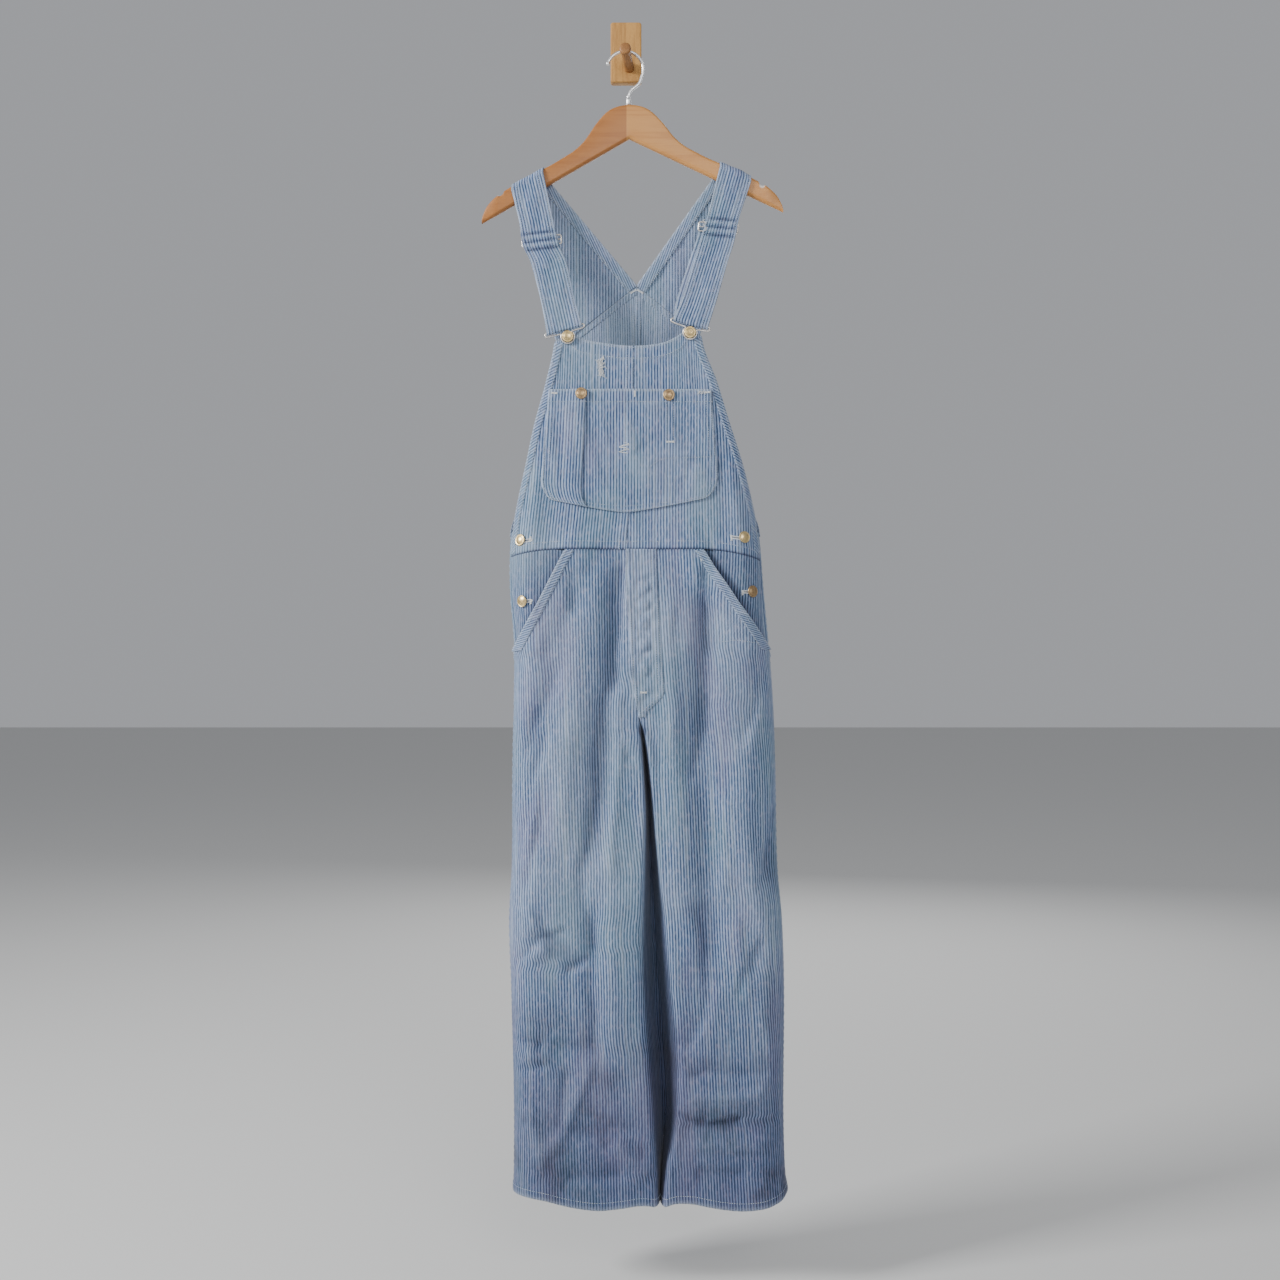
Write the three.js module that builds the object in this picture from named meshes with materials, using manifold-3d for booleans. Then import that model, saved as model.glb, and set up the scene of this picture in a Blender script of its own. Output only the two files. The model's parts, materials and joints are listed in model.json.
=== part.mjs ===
// Striped bib dungarees hanging by their straps on a wooden hanger, whose wire hook
// hangs on a wooden peg in a small wall block.
// Millimetres, +Z up, the front looks along -Y, the wall is the plane y = 0.
// The origin is the middle of the wall block's back face.
import * as THREE from 'three';
import { mergeVertices } from 'three/addons/utils/BufferGeometryUtils.js';
import Module from 'manifold-3d';

const wasm = await Module();
wasm.setup();

// Driving dimensions
const cloth = 1.5; // thickness of every cloth wall
const seamGap = 0.25; // half of the gap between two pieces that meet at an upright seam
const waistGap = 0.4; // the same at the waist and yoke seams
const layerGap = 1; // gap below a piece that lies on another, as wide as its folds need
const liftGap = 2; // gap between a panel and the pocket facing below it
const placketDrop = 3.2; // how far the button placket lies below the cloth over it
const sideSeamY = -45; // depth of the side seams and the inseams, also of the hanger
const waistZ = -743; // waist seam at the centre front
const hemZ = -1677; // hem at the side seams
const crotchTopZ = -950; // where the centre seams start to curve in between the legs
const crotchZ = -1016; // where the legs part
const legGap = 0.6; // half of the gap between the two inseams
const buttonRadius = 8.6;
const wireRadius = 1.3; // buckles and slides
const hookWireRadius = 2.4;
const hangerHalfThickness = 6.5;
const hangerTilt = THREE.MathUtils.degToRad(2.2);
const hangerTop = new THREE.Vector3(3.5, sideSeamY, -89.8);
const block = { width: 46, depth: 16, height: 89, corner: 4 };
const peg = { radius: 7.2, headRadius: 8.6, root: [5, -16, -24], tip: [-1, -76, -17] };

// Sections across the body. left and right are the side seams (above the waist, where
// they would be), front and back the depths of the flat middle, corner the width of the
// rounded side, bibOpen and backOpen the angles in degrees at which the cloth ends.
const sections = [
  { z: -180, left: -127, right: 135, front: -62, back: -26, corner: 40, bibOpen: 70, backOpen: 72 },
  { z: -434, left: -127, right: 135, front: -68, back: -14, corner: 40, bibOpen: 68, backOpen: 70 },
  { z: -500, left: -136, right: 153, front: -73, back: -12, corner: 40, bibOpen: 62, backOpen: 64 },
  { z: -560, left: -148, right: 167, front: -78, back: -11, corner: 40, bibOpen: 55, backOpen: 57 },
  { z: -620, left: -156, right: 181, front: -82, back: -10, corner: 40, bibOpen: 46, backOpen: 48 },
  { z: -690, left: -166, right: 193, front: -87, back: -9, corner: 40, bibOpen: 35, backOpen: 27 },
  { z: -716, left: -168, right: 195, front: -90, back: -9, corner: 40, bibOpen: 31, backOpen: 3 },
  { z: -745, left: -170, right: 198, front: -93, back: -8, corner: 40, bibOpen: 28, backOpen: 0 },
  { z: -800, left: -170, right: 203, front: -96, back: -7, corner: 42, bibOpen: 28, backOpen: 0 },
  { z: -880, left: -164, right: 213, front: -96, back: -6, corner: 44, bibOpen: 26, backOpen: 0 },
  { z: -960, left: -164, right: 218, front: -93, back: -6, corner: 44, bibOpen: 0, backOpen: 0 },
  { z: -1050, left: -166, right: 219, front: -88, back: -6, corner: 42, bibOpen: 0, backOpen: 0 },
  { z: -1200, left: -167, right: 222, front: -86, back: -6, corner: 40, bibOpen: 0, backOpen: 0 },
  { z: -1285, left: -171, right: 229, front: -86, back: -6, corner: 40, bibOpen: 0, backOpen: 0 },
  { z: -1380, left: -168, right: 232, front: -86, back: -6, corner: 40, bibOpen: 0, backOpen: 0 },
  { z: -1550, left: -164, right: 231, front: -85, back: -6, corner: 40, bibOpen: 0, backOpen: 0 },
  { z: -1640, left: -164, right: 233, front: -85, back: -6, corner: 40, bibOpen: 0, backOpen: 0 },
  { z: -1700, left: -165, right: 238, front: -85, back: -6, corner: 40, bibOpen: 0, backOpen: 0 },
];

// The line between the two halves: the bib seam, the edge of the fly and the middle of
// the gap between the legs, with the centre back seam beside it. inner is the width of
// the rounded inside of each leg.
const middles = [
  { z: -340, front: 13, back: 16, inner: 8 },
  { z: -434, front: 12, back: 11, inner: 8 },
  { z: -640, front: 9, back: 9, inner: 8 },
  { z: -745, front: 1, back: 7, inner: 8 },
  { z: -860, front: 6, back: 10, inner: 8 },
  { z: -950, front: 13, back: 15, inner: 10 },
  { z: -1016, front: 24, back: 24, inner: 13 },
  { z: -1110, front: 30, back: 30, inner: 16 },
  { z: -1200, front: 32, back: 32, inner: 20 },
  { z: -1340, front: 37, back: 37, inner: 24 },
  { z: -1460, front: 49, back: 49, inner: 26 },
  { z: -1560, front: 59, back: 59, inner: 26 },
  { z: -1640, front: 56, back: 56, inner: 21 },
  { z: -1700, front: 52, back: 52, inner: 12 },
];

// Main folds of the cloth. Each runs straight from x0, z0 to x1, z1, is a ridge where
// rise is positive and a trough where it is negative, and fades out over its width.
const folds = {
  front: [
    { x0: -20, z0: -770, x1: -20, z1: -960, width: 15, rise: -7 },
    { x0: -24, z0: -950, x1: -40, z1: -1190, width: 17, rise: -9 },
    { x0: -52, z0: -800, x1: -105, z1: -1200, width: 20, rise: 6 },
    { x0: -118, z0: -960, x1: -128, z1: -1190, width: 18, rise: -6 },
    { x0: 114, z0: -790, x1: 110, z1: -1060, width: 16, rise: -9 },
    { x0: 108, z0: -1050, x1: 122, z1: -1340, width: 18, rise: -8 },
    { x0: 70, z0: -860, x1: 74, z1: -1240, width: 18, rise: 5 },
    { x0: 160, z0: -960, x1: 178, z1: -1260, width: 18, rise: 5 },
    { x0: -140, z0: -1290, x1: -60, z1: -1345, width: 15, rise: -7 },
    { x0: -130, z0: -1455, x1: -30, z1: -1470, width: 13, rise: -5 },
    { x0: -120, z0: -1585, x1: 20, z1: -1580, width: 13, rise: -5 },
    { x0: 95, z0: -1570, x1: 215, z1: -1580, width: 14, rise: -6 },
    { x0: 200, z0: -1160, x1: 222, z1: -1255, width: 14, rise: -7 },
  ],
  back: [
    { x0: -45, z0: -640, x1: -62, z1: -930, width: 20, rise: 5 },
    { x0: 62, z0: -660, x1: 92, z1: -960, width: 20, rise: 5 },
    { x0: -100, z0: -980, x1: -84, z1: -1240, width: 20, rise: -7 },
    { x0: 128, z0: -1000, x1: 120, z1: -1260, width: 20, rise: -7 },
    { x0: -140, z0: -1330, x1: -30, z1: -1350, width: 16, rise: -6 },
    { x0: 80, z0: -1345, x1: 205, z1: -1330, width: 16, rise: -6 },
    { x0: -120, z0: -1560, x1: 0, z1: -1575, width: 14, rise: -5 },
    { x0: 100, z0: -1575, x1: 210, z1: -1560, width: 14, rise: -5 },
  ],
};

// Edges of the pieces, as real places on the front
const slash = {
  left: { topX: -86, bottomX: -159, bottomZ: -886 },
  right: { topX: 111, bottomX: 204, bottomZ: -884 },
};
const facingOverlap = 20; // how far the pocket facing runs in below the slashed edge
const waistDip = { fall: 11, centreX: 6, flat: 95, reach: 80 }; // towards the side openings
const hemEnds = { leftX: -165, rightX: 237, innerX: 53 };

// How far the hems hang below hemZ, from the side seam at 0 to the inseam at 1
const hemFall = {
  left: [
    { u: 0, fall: 0 }, { u: 0.12, fall: 0.5 }, { u: 0.22, fall: 4 }, { u: 0.32, fall: 10 },
    { u: 0.42, fall: 14.5 }, { u: 0.58, fall: 18.5 }, { u: 0.72, fall: 15.5 }, { u: 0.86, fall: 11.5 },
    { u: 1, fall: 13.5 },
  ],
  right: [
    { u: 0, fall: 0 }, { u: 0.05, fall: 7 }, { u: 0.12, fall: 12 }, { u: 0.21, fall: 16.5 },
    { u: 0.38, fall: 19 }, { u: 0.52, fall: 17 }, { u: 0.64, fall: 13 }, { u: 0.76, fall: 9 },
    { u: 0.9, fall: 8.5 }, { u: 1, fall: 13.5 },
  ],
};
const bibTopEdge = [
  { x: -104, z: -441 },
  { x: -84, z: -425 },
  { x: -68, z: -436 },
  { x: -36, z: -443 },
  { x: 6, z: -447.5 },
  { x: 50, z: -444 },
  { x: 76, z: -433 },
  { x: 93, z: -419 },
  { x: 113, z: -434 },
];
const yokeTop = { x: 16, z: -349 }; // lowest point of the V neck at the back
const yokeSlope = 0.77; // fall of the yoke seam for each millimetre outward
const pocket = {
  top: -512, left: -110, right: 123, low: -690, lowX: -1, rise: 20, split: -60,
  leftWide: -122, rightWide: 133, leftCorner: -104, rightCorner: 113,
};

// Smooth value of a named column at one height or place
function columnAt(table, key, value, column) {
  const order = Math.sign(table[1][key] - table[0][key]);
  const last = table.length - 1;
  let i = 0;
  while (i < last - 1 && (value - table[i + 1][key]) * order > 0) i += 1;
  const a = table[i];
  const b = table[i + 1];
  const span = b[key] - a[key];
  const t = THREE.MathUtils.clamp((value - a[key]) / span, 0, 1);
  const slope = (j) => {
    if (j <= 0 || j >= last) return 0;
    return (table[j + 1][column] - table[j - 1][column]) / (table[j + 1][key] - table[j - 1][key]);
  };
  const t2 = t * t;
  const t3 = t2 * t;
  return a[column] * (2 * t3 - 3 * t2 + 1) + b[column] * (3 * t2 - 2 * t3)
    + span * (slope(i) * (t3 - 2 * t2 + t) + slope(i + 1) * (t3 - t2));
}

function smooth(from, to, value) {
  const t = THREE.MathUtils.clamp((value - from) / (to - from), 0, 1);
  return t * t * (3 - 2 * t);
}

function foldAt(face, x, z) {
  let sum = 0;
  for (const fold of folds[face]) {
    const dx = fold.x1 - fold.x0;
    const dz = fold.z1 - fold.z0;
    const length2 = dx * dx + dz * dz;
    const along = THREE.MathUtils.clamp(((x - fold.x0) * dx + (z - fold.z0) * dz) / length2, 0, 1);
    const offX = x - fold.x0 - dx * along;
    const offZ = z - fold.z0 - dz * along;
    const taper = Math.sqrt(Math.max(0.05, 4 * along * (1 - along)));
    sum += fold.rise * taper * Math.exp(-(offX * offX + offZ * offZ) / (fold.width * fold.width));
  }
  return sum;
}

// One half of the body or one leg at height z. half is -1 on the left of the picture and
// 1 on its right, face is 'front' or 'back'.
function sectionAt(half, face, z) {
  const away = face === 'front' ? -1 : 1;
  const turn = THREE.MathUtils.clamp((crotchTopZ - z) / (crotchTopZ - crotchZ), 0, 1);
  const gap = THREE.MathUtils.lerp(seamGap, legGap, turn);
  return {
    edge: columnAt(sections, 'z', z, half < 0 ? 'left' : 'right'),
    depth: Math.abs(columnAt(sections, 'z', z, face) - sideSeamY),
    corner: columnAt(sections, 'z', z, 'corner'),
    open: THREE.MathUtils.degToRad(columnAt(sections, 'z', z, face === 'front' ? 'bibOpen' : 'backOpen')),
    middle: columnAt(middles, 'z', z, face) + half * gap,
    inner: columnAt(middles, 'z', z, 'inner'),
    turn: turn * Math.PI / 2,
    away,
    half,
    seamY: sideSeamY + away * 0.2,
  };
}

// A point on the cloth at x, z, its depth following the rounded side, the flat middle
// and the rounded inside of the leg
function onCloth(half, face, x, z) {
  const s = sectionAt(half, face, z);
  const fromEdge = (s.edge - x) * half;
  const fromMiddle = (x - s.middle) * half;
  const sunk = s.inner * Math.sin(s.turn);
  let reach = 1;
  if (fromEdge < s.corner) {
    const cosine = THREE.MathUtils.clamp(1 - fromEdge / s.corner, -1, 1);
    reach = Math.sqrt(Math.max(0, 1 - cosine * cosine));
  } else if (fromMiddle < sunk) {
    const sine = THREE.MathUtils.clamp((sunk - fromMiddle) / s.inner, 0, 1);
    reach = Math.sqrt(Math.max(0, 1 - sine * sine));
  }
  const depth = s.depth + foldAt(face, x, z);
  return new THREE.Vector3(x, s.seamY + s.away * depth * reach, z);
}

// A point of a panel. across runs 0 to 1 round the side, 1 to 2 over the flat middle and
// 2 to 3 to the centre seam or the inseam.
function onPanel(half, face, across, z) {
  const s = sectionAt(half, face, z);
  const flatStart = s.edge - half * s.corner;
  const flatEnd = s.middle + half * s.inner;
  let x = 0;
  let reach = 1;
  if (across < 1) {
    const angle = across * Math.PI / 2;
    x = s.edge - half * s.corner * (1 - Math.cos(angle));
    reach = Math.sin(angle);
  } else if (across < 2) {
    x = THREE.MathUtils.lerp(flatStart, flatEnd, across - 1);
  } else {
    const flat = s.inner * (1 - Math.sin(s.turn));
    const arc = s.turn * (s.inner + s.depth) / 2;
    const run = (across - 2) * (flat + arc);
    if (run < flat || s.turn === 0) {
      x = flatEnd - half * run;
    } else {
      const angle = (run - flat) / arc * s.turn;
      x = s.middle + half * s.inner * (Math.sin(s.turn) - Math.sin(angle));
      reach = Math.cos(angle);
    }
  }
  const depth = s.depth + foldAt(face, x, z) * Math.abs(reach);
  return new THREE.Vector3(x, s.seamY + s.away * depth * reach, z);
}

// The across value at which a panel reaches a given x
function acrossAt(half, face, x, z) {
  const s = sectionAt(half, face, z);
  const fromEdge = (s.edge - x) * half;
  if (fromEdge < s.corner) {
    return Math.acos(THREE.MathUtils.clamp(1 - fromEdge / s.corner, -1, 1)) / (Math.PI / 2);
  }
  const flatEnd = s.middle + half * s.inner;
  const flat = Math.abs(flatEnd - s.edge) - s.corner;
  return 1 + (fromEdge - s.corner) / flat;
}

// Closed wall over a grid of points. at(c, r) gives a point for c and r from 0 to 1, and
// the wall runs from low to high above it along the normal that looks along hint.
function wall(at, columns, rows, low, high, hint) {
  const step = 1e-3;
  const normalAt = (c, r) => {
    const acrossStep = at(c + step, r).sub(at(c - step, r));
    const alongStep = at(c, r + step).sub(at(c, r - step));
    return acrossStep.cross(alongStep).normalize();
  };
  const middle = normalAt(hint.c ?? 0.5, hint.r ?? 0.5);
  const sign = middle.dot(new THREE.Vector3(...hint.towards)) < 0 ? -1 : 1;
  const heightAt = (value, c, r) => (typeof value === 'function' ? value(c, r) : value);
  const positions = [];
  for (const level of [high, low]) {
    for (let j = 0; j <= rows; j += 1) {
      for (let i = 0; i <= columns; i += 1) {
        const c = i / columns;
        const r = j / rows;
        const point = at(c, r).addScaledVector(normalAt(c, r), sign * heightAt(level, c, r));
        positions.push(point.x, point.y, point.z);
      }
    }
  }
  const stride = columns + 1;
  const layer = stride * (rows + 1);
  const index = [];
  const quad = (a, b, c, d) => index.push(a, b, c, a, c, d);
  for (let j = 0; j < rows; j += 1) {
    for (let i = 0; i < columns; i += 1) {
      const a = j * stride + i;
      quad(a, a + 1, a + stride + 1, a + stride);
      quad(layer + a + stride, layer + a + stride + 1, layer + a + 1, layer + a);
    }
  }
  for (let i = 0; i < columns; i += 1) {
    const end = rows * stride + i;
    quad(layer + i, layer + i + 1, i + 1, i);
    quad(end, end + 1, layer + end + 1, layer + end);
  }
  for (let j = 0; j < rows; j += 1) {
    const a = j * stride;
    const b = a + columns;
    quad(a, a + stride, layer + a + stride, layer + a);
    quad(layer + b, layer + b + stride, b + stride, b);
  }
  return outward(positions, index);
}

// A geometry of the given triangles, turned so that its faces look out
function outward(positions, index) {
  let volume = 0;
  const corner = [0, 1, 2].map(() => new THREE.Vector3());
  for (let i = 0; i < index.length; i += 3) {
    corner.forEach((v, k) => v.fromArray(positions, index[i + k] * 3));
    volume += corner[0].dot(corner[1].clone().cross(corner[2]));
  }
  if (volume < 0) {
    for (let i = 0; i < index.length; i += 3) {
      [index[i + 1], index[i + 2]] = [index[i + 2], index[i + 1]];
    }
  }
  const geometry = new THREE.BufferGeometry();
  geometry.setAttribute('position', new THREE.Float32BufferAttribute(positions, 3));
  geometry.setIndex(index);
  return geometry;
}

function material(colour, roughness, metalness) {
  return new THREE.MeshStandardMaterial({ color: colour, roughness, metalness });
}
const looks = {
  stripe: material(0x8496ac, 0.9, 0),
  stripeInside: material(0x76879c, 0.95, 0),
  brass: material(0xa98a52, 0.4, 0.9),
  wire: material(0xb9b4b0, 0.35, 0.9),
  wood: material(0xc99a66, 0.55, 0),
  pegWood: material(0x9a6a3c, 0.6, 0),
};

const dungarees = new THREE.Group();
function add(name, geometry, look) {
  const mesh = new THREE.Mesh(geometry, look);
  mesh.name = name;
  dungarees.add(mesh);
  return mesh;
}

const sides = [
  { half: -1, name: 'left' },
  { half: 1, name: 'right' },
];
const toFront = { towards: [0, -1, 0] };
const toBack = { towards: [0, 1, 0] };
const { lerp } = THREE.MathUtils;

// Seams and edges of the cloth as heights at x
function waistLine(x) {
  const { fall, centreX, flat, reach } = waistDip;
  return waistZ - fall * (Math.max(0, Math.abs(x - centreX) - flat) / reach) ** 2;
}
const bibTopLine = (x) => columnAt(bibTopEdge, 'x', x, 'z');
const yokeLine = (x) => yokeTop.z - yokeSlope * Math.abs(x - yokeTop.x);
function hemLine(half, x) {
  const outerX = half < 0 ? hemEnds.leftX : hemEnds.rightX;
  const u = THREE.MathUtils.clamp((x - outerX) / (hemEnds.innerX - outerX), 0, 1);
  return hemZ - columnAt(half < 0 ? hemFall.left : hemFall.right, 'u', u, 'fall');
}

// The slashed pocket edge: its x at height z, and how far inward of it a point lies
function slashX(name, z) {
  const edge = slash[name];
  return lerp(edge.topX, edge.bottomX, (z - waistZ) / (edge.bottomZ - waistZ));
}

// Panels rise over the pocket facing, so that it fits below them
function liftAt(half, name, x, z) {
  const inward = (slashX(name, z) - x) * half;
  const beside = smooth(-16, -2, inward) * (1 - smooth(facingOverlap + 8, facingOverlap + 38, inward));
  const range = smooth(-930, -906, z) * (1 - smooth(-735, -700, z));
  return (cloth + liftGap) * beside * range;
}

// Shares of a panel's columns on its rounded side, its flat middle and its inside
const columnShares = { side: 0.27, flat: 0.5 };

// Grid of a panel from its outer edge to the middle and from its top to its bottom
function panelGrid(half, face, startAt, topLine, bottomLine, rowAt = (r) => r) {
  const flatEnd = columnShares.side + columnShares.flat;
  const spreadAt = (c) => {
    if (c < columnShares.side) return c / columnShares.side;
    if (c < flatEnd) return 1 + (c - columnShares.side) / columnShares.flat;
    return 2 + (c - flatEnd) / (1 - flatEnd);
  };
  return (c, row) => {
    const r = rowAt(row);
    let z = lerp(topLine(0), bottomLine(0), r);
    let point = null;
    for (let pass = 0; pass < 5; pass += 1) {
      const start = startAt(z);
      point = onPanel(half, face, start + (3 - start) * spreadAt(c) / 3, z);
      z = lerp(topLine(point.x), bottomLine(point.x), r);
    }
    return point.setZ(z);
  };
}

function addPanel(name, half, sideName, grid, columns, rows, hint) {
  const lifted = (below) => (c, r) => {
    const point = grid(c, r);
    return (hint === toFront ? liftAt(half, sideName, point.x, point.z) : 0) - below;
  };
  add(name, wall(grid, columns, rows, lifted(cloth), lifted(0), hint), looks.stripe);
}

// The front legs have closer rows beside the pockets, where the panel bends most: this
// share of the rows covers this share of the length
const closeRows = { share: 0.36, length: 0.2 };
function legRows(row) {
  const { share, length } = closeRows;
  return row < share ? row * length / share : lerp(length, 1, (row - share) / (1 - share));
}

// Bib, legs and back, one piece for each half
for (const { half, name } of sides) {
  const bibStart = (z) => sectionAt(half, 'front', z).open / (Math.PI / 2);
  const bib = panelGrid(half, 'front', bibStart, bibTopLine, (x) => waistLine(x) + waistGap);
  addPanel(`bib_${name}`, half, name, bib, 12, 12, toFront);

  const legStart = (z) => {
    const edgeX = slashX(name, Math.max(z, slash[name].bottomZ));
    const onSlash = acrossAt(half, 'front', edgeX, Math.max(z, slash[name].bottomZ));
    return onSlash * smooth(slash[name].bottomZ - 22, slash[name].bottomZ, z);
  };
  const front = panelGrid(
    half, 'front', legStart, (x) => waistLine(x) - waistGap, (x) => hemLine(half, x), legRows,
  );
  addPanel(`front_leg_${name}`, half, name, front, 14, 30, toFront);

  const backStart = (z) => sectionAt(half, 'back', z).open / (Math.PI / 2);
  const back = panelGrid(
    half, 'back', backStart, (x) => yokeLine(x) - waistGap, (x) => hemLine(half, x),
  );
  addPanel(`back_${name}`, half, name, back, 12, 34, toBack);
}

// Pocket facings behind the slashed edges, and the button plackets below them. Both sink
// a little towards the bottom of the pocket, where the front closes over them.
const pocketEnd = 6; // how far above the end of the slash the facing stops
const facingDip = (z) => 1.6 * (1 - smooth(-850, -815, z));
for (const { half, name } of sides) {
  const facing = (c, r) => {
    let z = lerp(waistZ, slash[name].bottomZ + pocketEnd, r);
    let point = null;
    for (let pass = 0; pass < 4; pass += 1) {
      const first = sectionAt(half, 'front', z).open / (Math.PI / 2);
      const edgeX = slashX(name, Math.max(z, slash[name].bottomZ)) - half * facingOverlap;
      const last = acrossAt(half, 'front', edgeX, z);
      point = onPanel(half, 'front', lerp(first, last, c), z);
      z = lerp(waistLine(point.x) - waistGap, slash[name].bottomZ + pocketEnd, r);
    }
    return point.setZ(z);
  };
  const facingAt = (below) => (c, r) => -below - facingDip(facing(c, r).z);
  add(`pocket_facing_${name}`, wall(facing, 6, 8, facingAt(cloth), facingAt(0), toFront), looks.stripe);

  const placket = (c, r) => onPanel(half, 'front', lerp(0.01, 0.56, c), lerp(-717, slash[name].bottomZ - 6, r));
  const placketAt = (below) => (c, r) => -placketDrop - below - facingDip(placket(c, r).z);
  const outwardHint = { towards: [half, -0.6, 0] };
  add(
    `side_placket_${name}`,
    wall(placket, 4, 8, placketAt(cloth), placketAt(0), outwardHint),
    looks.stripeInside,
  );
}

// Fly: the doubled strip on the right front, narrowing to the bar tack above the crotch
const fly = { top: waistZ - 3, bottom: -962, width: 44, endWidth: 14 };
function flyGrid(c, r) {
  const z = lerp(fly.top, fly.bottom, r);
  const width = lerp(fly.width, fly.endWidth, smooth(0.72, 1, r));
  const x = columnAt(middles, 'z', z, 'front') + 1 + width * c;
  return onCloth(1, 'front', x, z);
}
add('fly_front', wall(flyGrid, 5, 10, layerGap, layerGap + cloth, toFront), looks.stripe);

// Bib pocket, with its narrow left compartment lapped over the main one
function pocketGrid(fromX, toX) {
  return (c, r) => {
    const round = smooth(0.8, 1, r) ** 2;
    const leftSide = lerp(lerp(pocket.left, pocket.leftWide, Math.min(r / 0.85, 1)), pocket.leftCorner, round);
    const rightSide = lerp(lerp(pocket.right, pocket.rightWide, Math.min(r / 0.8, 1)), pocket.rightCorner, round);
    const split = (x) => (x - pocket.left) / (pocket.right - pocket.left);
    const x = lerp(leftSide, rightSide, lerp(split(fromX), split(toX), c));
    const bottom = pocket.low + pocket.rise * (Math.abs(x - pocket.lowX) / 115) ** 1.3;
    const z = lerp(pocket.top, bottom, r);
    return onCloth(x < columnAt(middles, 'z', z, 'front') ? -1 : 1, 'front', x, z);
  };
}
const mainPocket = pocketGrid(pocket.split - 2, pocket.right);
const leftPocket = pocketGrid(pocket.left, pocket.split + 3);
const lapped = (base) => (c) => base + (cloth + layerGap) * smooth(0.45, 0.8, c);
add('bib_pocket', wall(mainPocket, 11, 8, layerGap, layerGap + cloth, toFront), looks.stripe);
add('bib_pocket_left', wall(leftPocket, 5, 8, lapped(layerGap), lapped(layerGap + cloth), toFront), looks.stripe);

// Hanger: half of its outline from the middle outwards, x away from the middle, z down
const hangerEdge = [
  { x: 0, z: 0 }, { x: 18, z: -2.5 }, { x: 32, z: -9.5 }, { x: 48, z: -26 }, { x: 66, z: -50 },
  { x: 81, z: -63.5 }, { x: 97, z: -73 }, { x: 114, z: -82.5 }, { x: 130, z: -90 },
  { x: 152, z: -100.5 }, { x: 178, z: -114.5 }, { x: 200, z: -128 }, { x: 213, z: -141 },
  { x: 220, z: -155 }, { x: 221, z: -160 },
];
const hangerUnderside = { middle: -49.8, tipX: 216, tipZ: -163 };
const notch = { x: 191, radius: 4.5 };
const edgeRound = 5;

function join(parts, cut = []) {
  const solidOf = (geometry) => {
    const bare = geometry.index ? geometry.toNonIndexed() : geometry.clone();
    bare.deleteAttribute('normal');
    bare.deleteAttribute('uv');
    const merged = mergeVertices(bare, 1e-3);
    return new wasm.Manifold(new wasm.Mesh({
      numProp: 3,
      vertProperties: new Float32Array(merged.attributes.position.array),
      triVerts: new Uint32Array(merged.index.array),
    }));
  };
  let solid = solidOf(parts[0]);
  for (const part of parts.slice(1)) solid = solid.add(solidOf(part));
  for (const part of cut) solid = solid.subtract(solidOf(part));
  const mesh = solid.getMesh();
  const geometry = new THREE.BufferGeometry();
  geometry.setAttribute('position', new THREE.Float32BufferAttribute(mesh.vertProperties, 3));
  geometry.setIndex(Array.from(mesh.triVerts));
  return geometry;
}

// Closed solid through rings that all have the same number of points
function loft(rings) {
  const count = rings[0].length;
  const positions = [];
  const index = [];
  for (const ring of rings) ring.forEach((p) => positions.push(p.x, p.y, p.z));
  for (let j = 0; j < rings.length - 1; j += 1) {
    for (let i = 0; i < count; i += 1) {
      const next = (i + 1) % count;
      const a = j * count;
      index.push(a + i, a + next, a + count + next, a + i, a + count + next, a + count + i);
    }
  }
  const endOf = (first, flip) => {
    for (let i = 1; i < count - 1; i += 1) {
      index.push(first, first + (flip ? i + 1 : i), first + (flip ? i : i + 1));
    }
  };
  endOf(0, true);
  endOf((rings.length - 1) * count, false);
  return outward(positions, index);
}

function hangerGeometry() {
  const right = hangerEdge.slice(1).map((p) => p.x);
  const stations = [...right.map((x) => -x).reverse(), 0, ...right];
  const cornerSteps = 3;
  const rings = stations.map((x) => {
    const out = Math.abs(x);
    const top = columnAt(hangerEdge, 'x', out, 'z');
    const slope = (hangerUnderside.tipZ - hangerUnderside.middle) / hangerUnderside.tipX;
    const bottom = hangerUnderside.middle + slope * out;
    const round = Math.min(edgeRound, (top - bottom) / 2 - 0.2);
    const halfThick = hangerHalfThickness - 3 * smooth(195, 221, out);
    const ring = [];
    const corners = [
      { y: 1, z: top, from: 0 }, { y: -1, z: top, from: 90 },
      { y: -1, z: bottom, from: 180 }, { y: 1, z: bottom, from: 270 },
    ];
    for (const corner of corners) {
      const inward = corner.z === top ? -1 : 1;
      const flat = Math.max(halfThick - round, 0.2);
      for (let k = 0; k <= cornerSteps; k += 1) {
        const angle = THREE.MathUtils.degToRad(corner.from + 90 * k / cornerSteps);
        ring.push(new THREE.Vector3(
          x,
          corner.y * flat + (halfThick - flat) * Math.cos(angle),
          corner.z + inward * round + round * Math.sin(angle),
        ));
      }
    }
    return ring;
  });
  const cuts = [-1, 1].map((sign) => {
    const groove = new THREE.CylinderGeometry(notch.radius, notch.radius, 4 * hangerHalfThickness, 12);
    return groove.translate(sign * notch.x, 0, columnAt(hangerEdge, 'x', notch.x, 'z') + 1);
  });
  const geometry = join([loft(rings)], cuts);
  geometry.rotateY(-hangerTilt);
  return geometry.translate(hangerTop.x, hangerTop.y, hangerTop.z);
}
add('hanger', hangerGeometry(), looks.wood);

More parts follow.
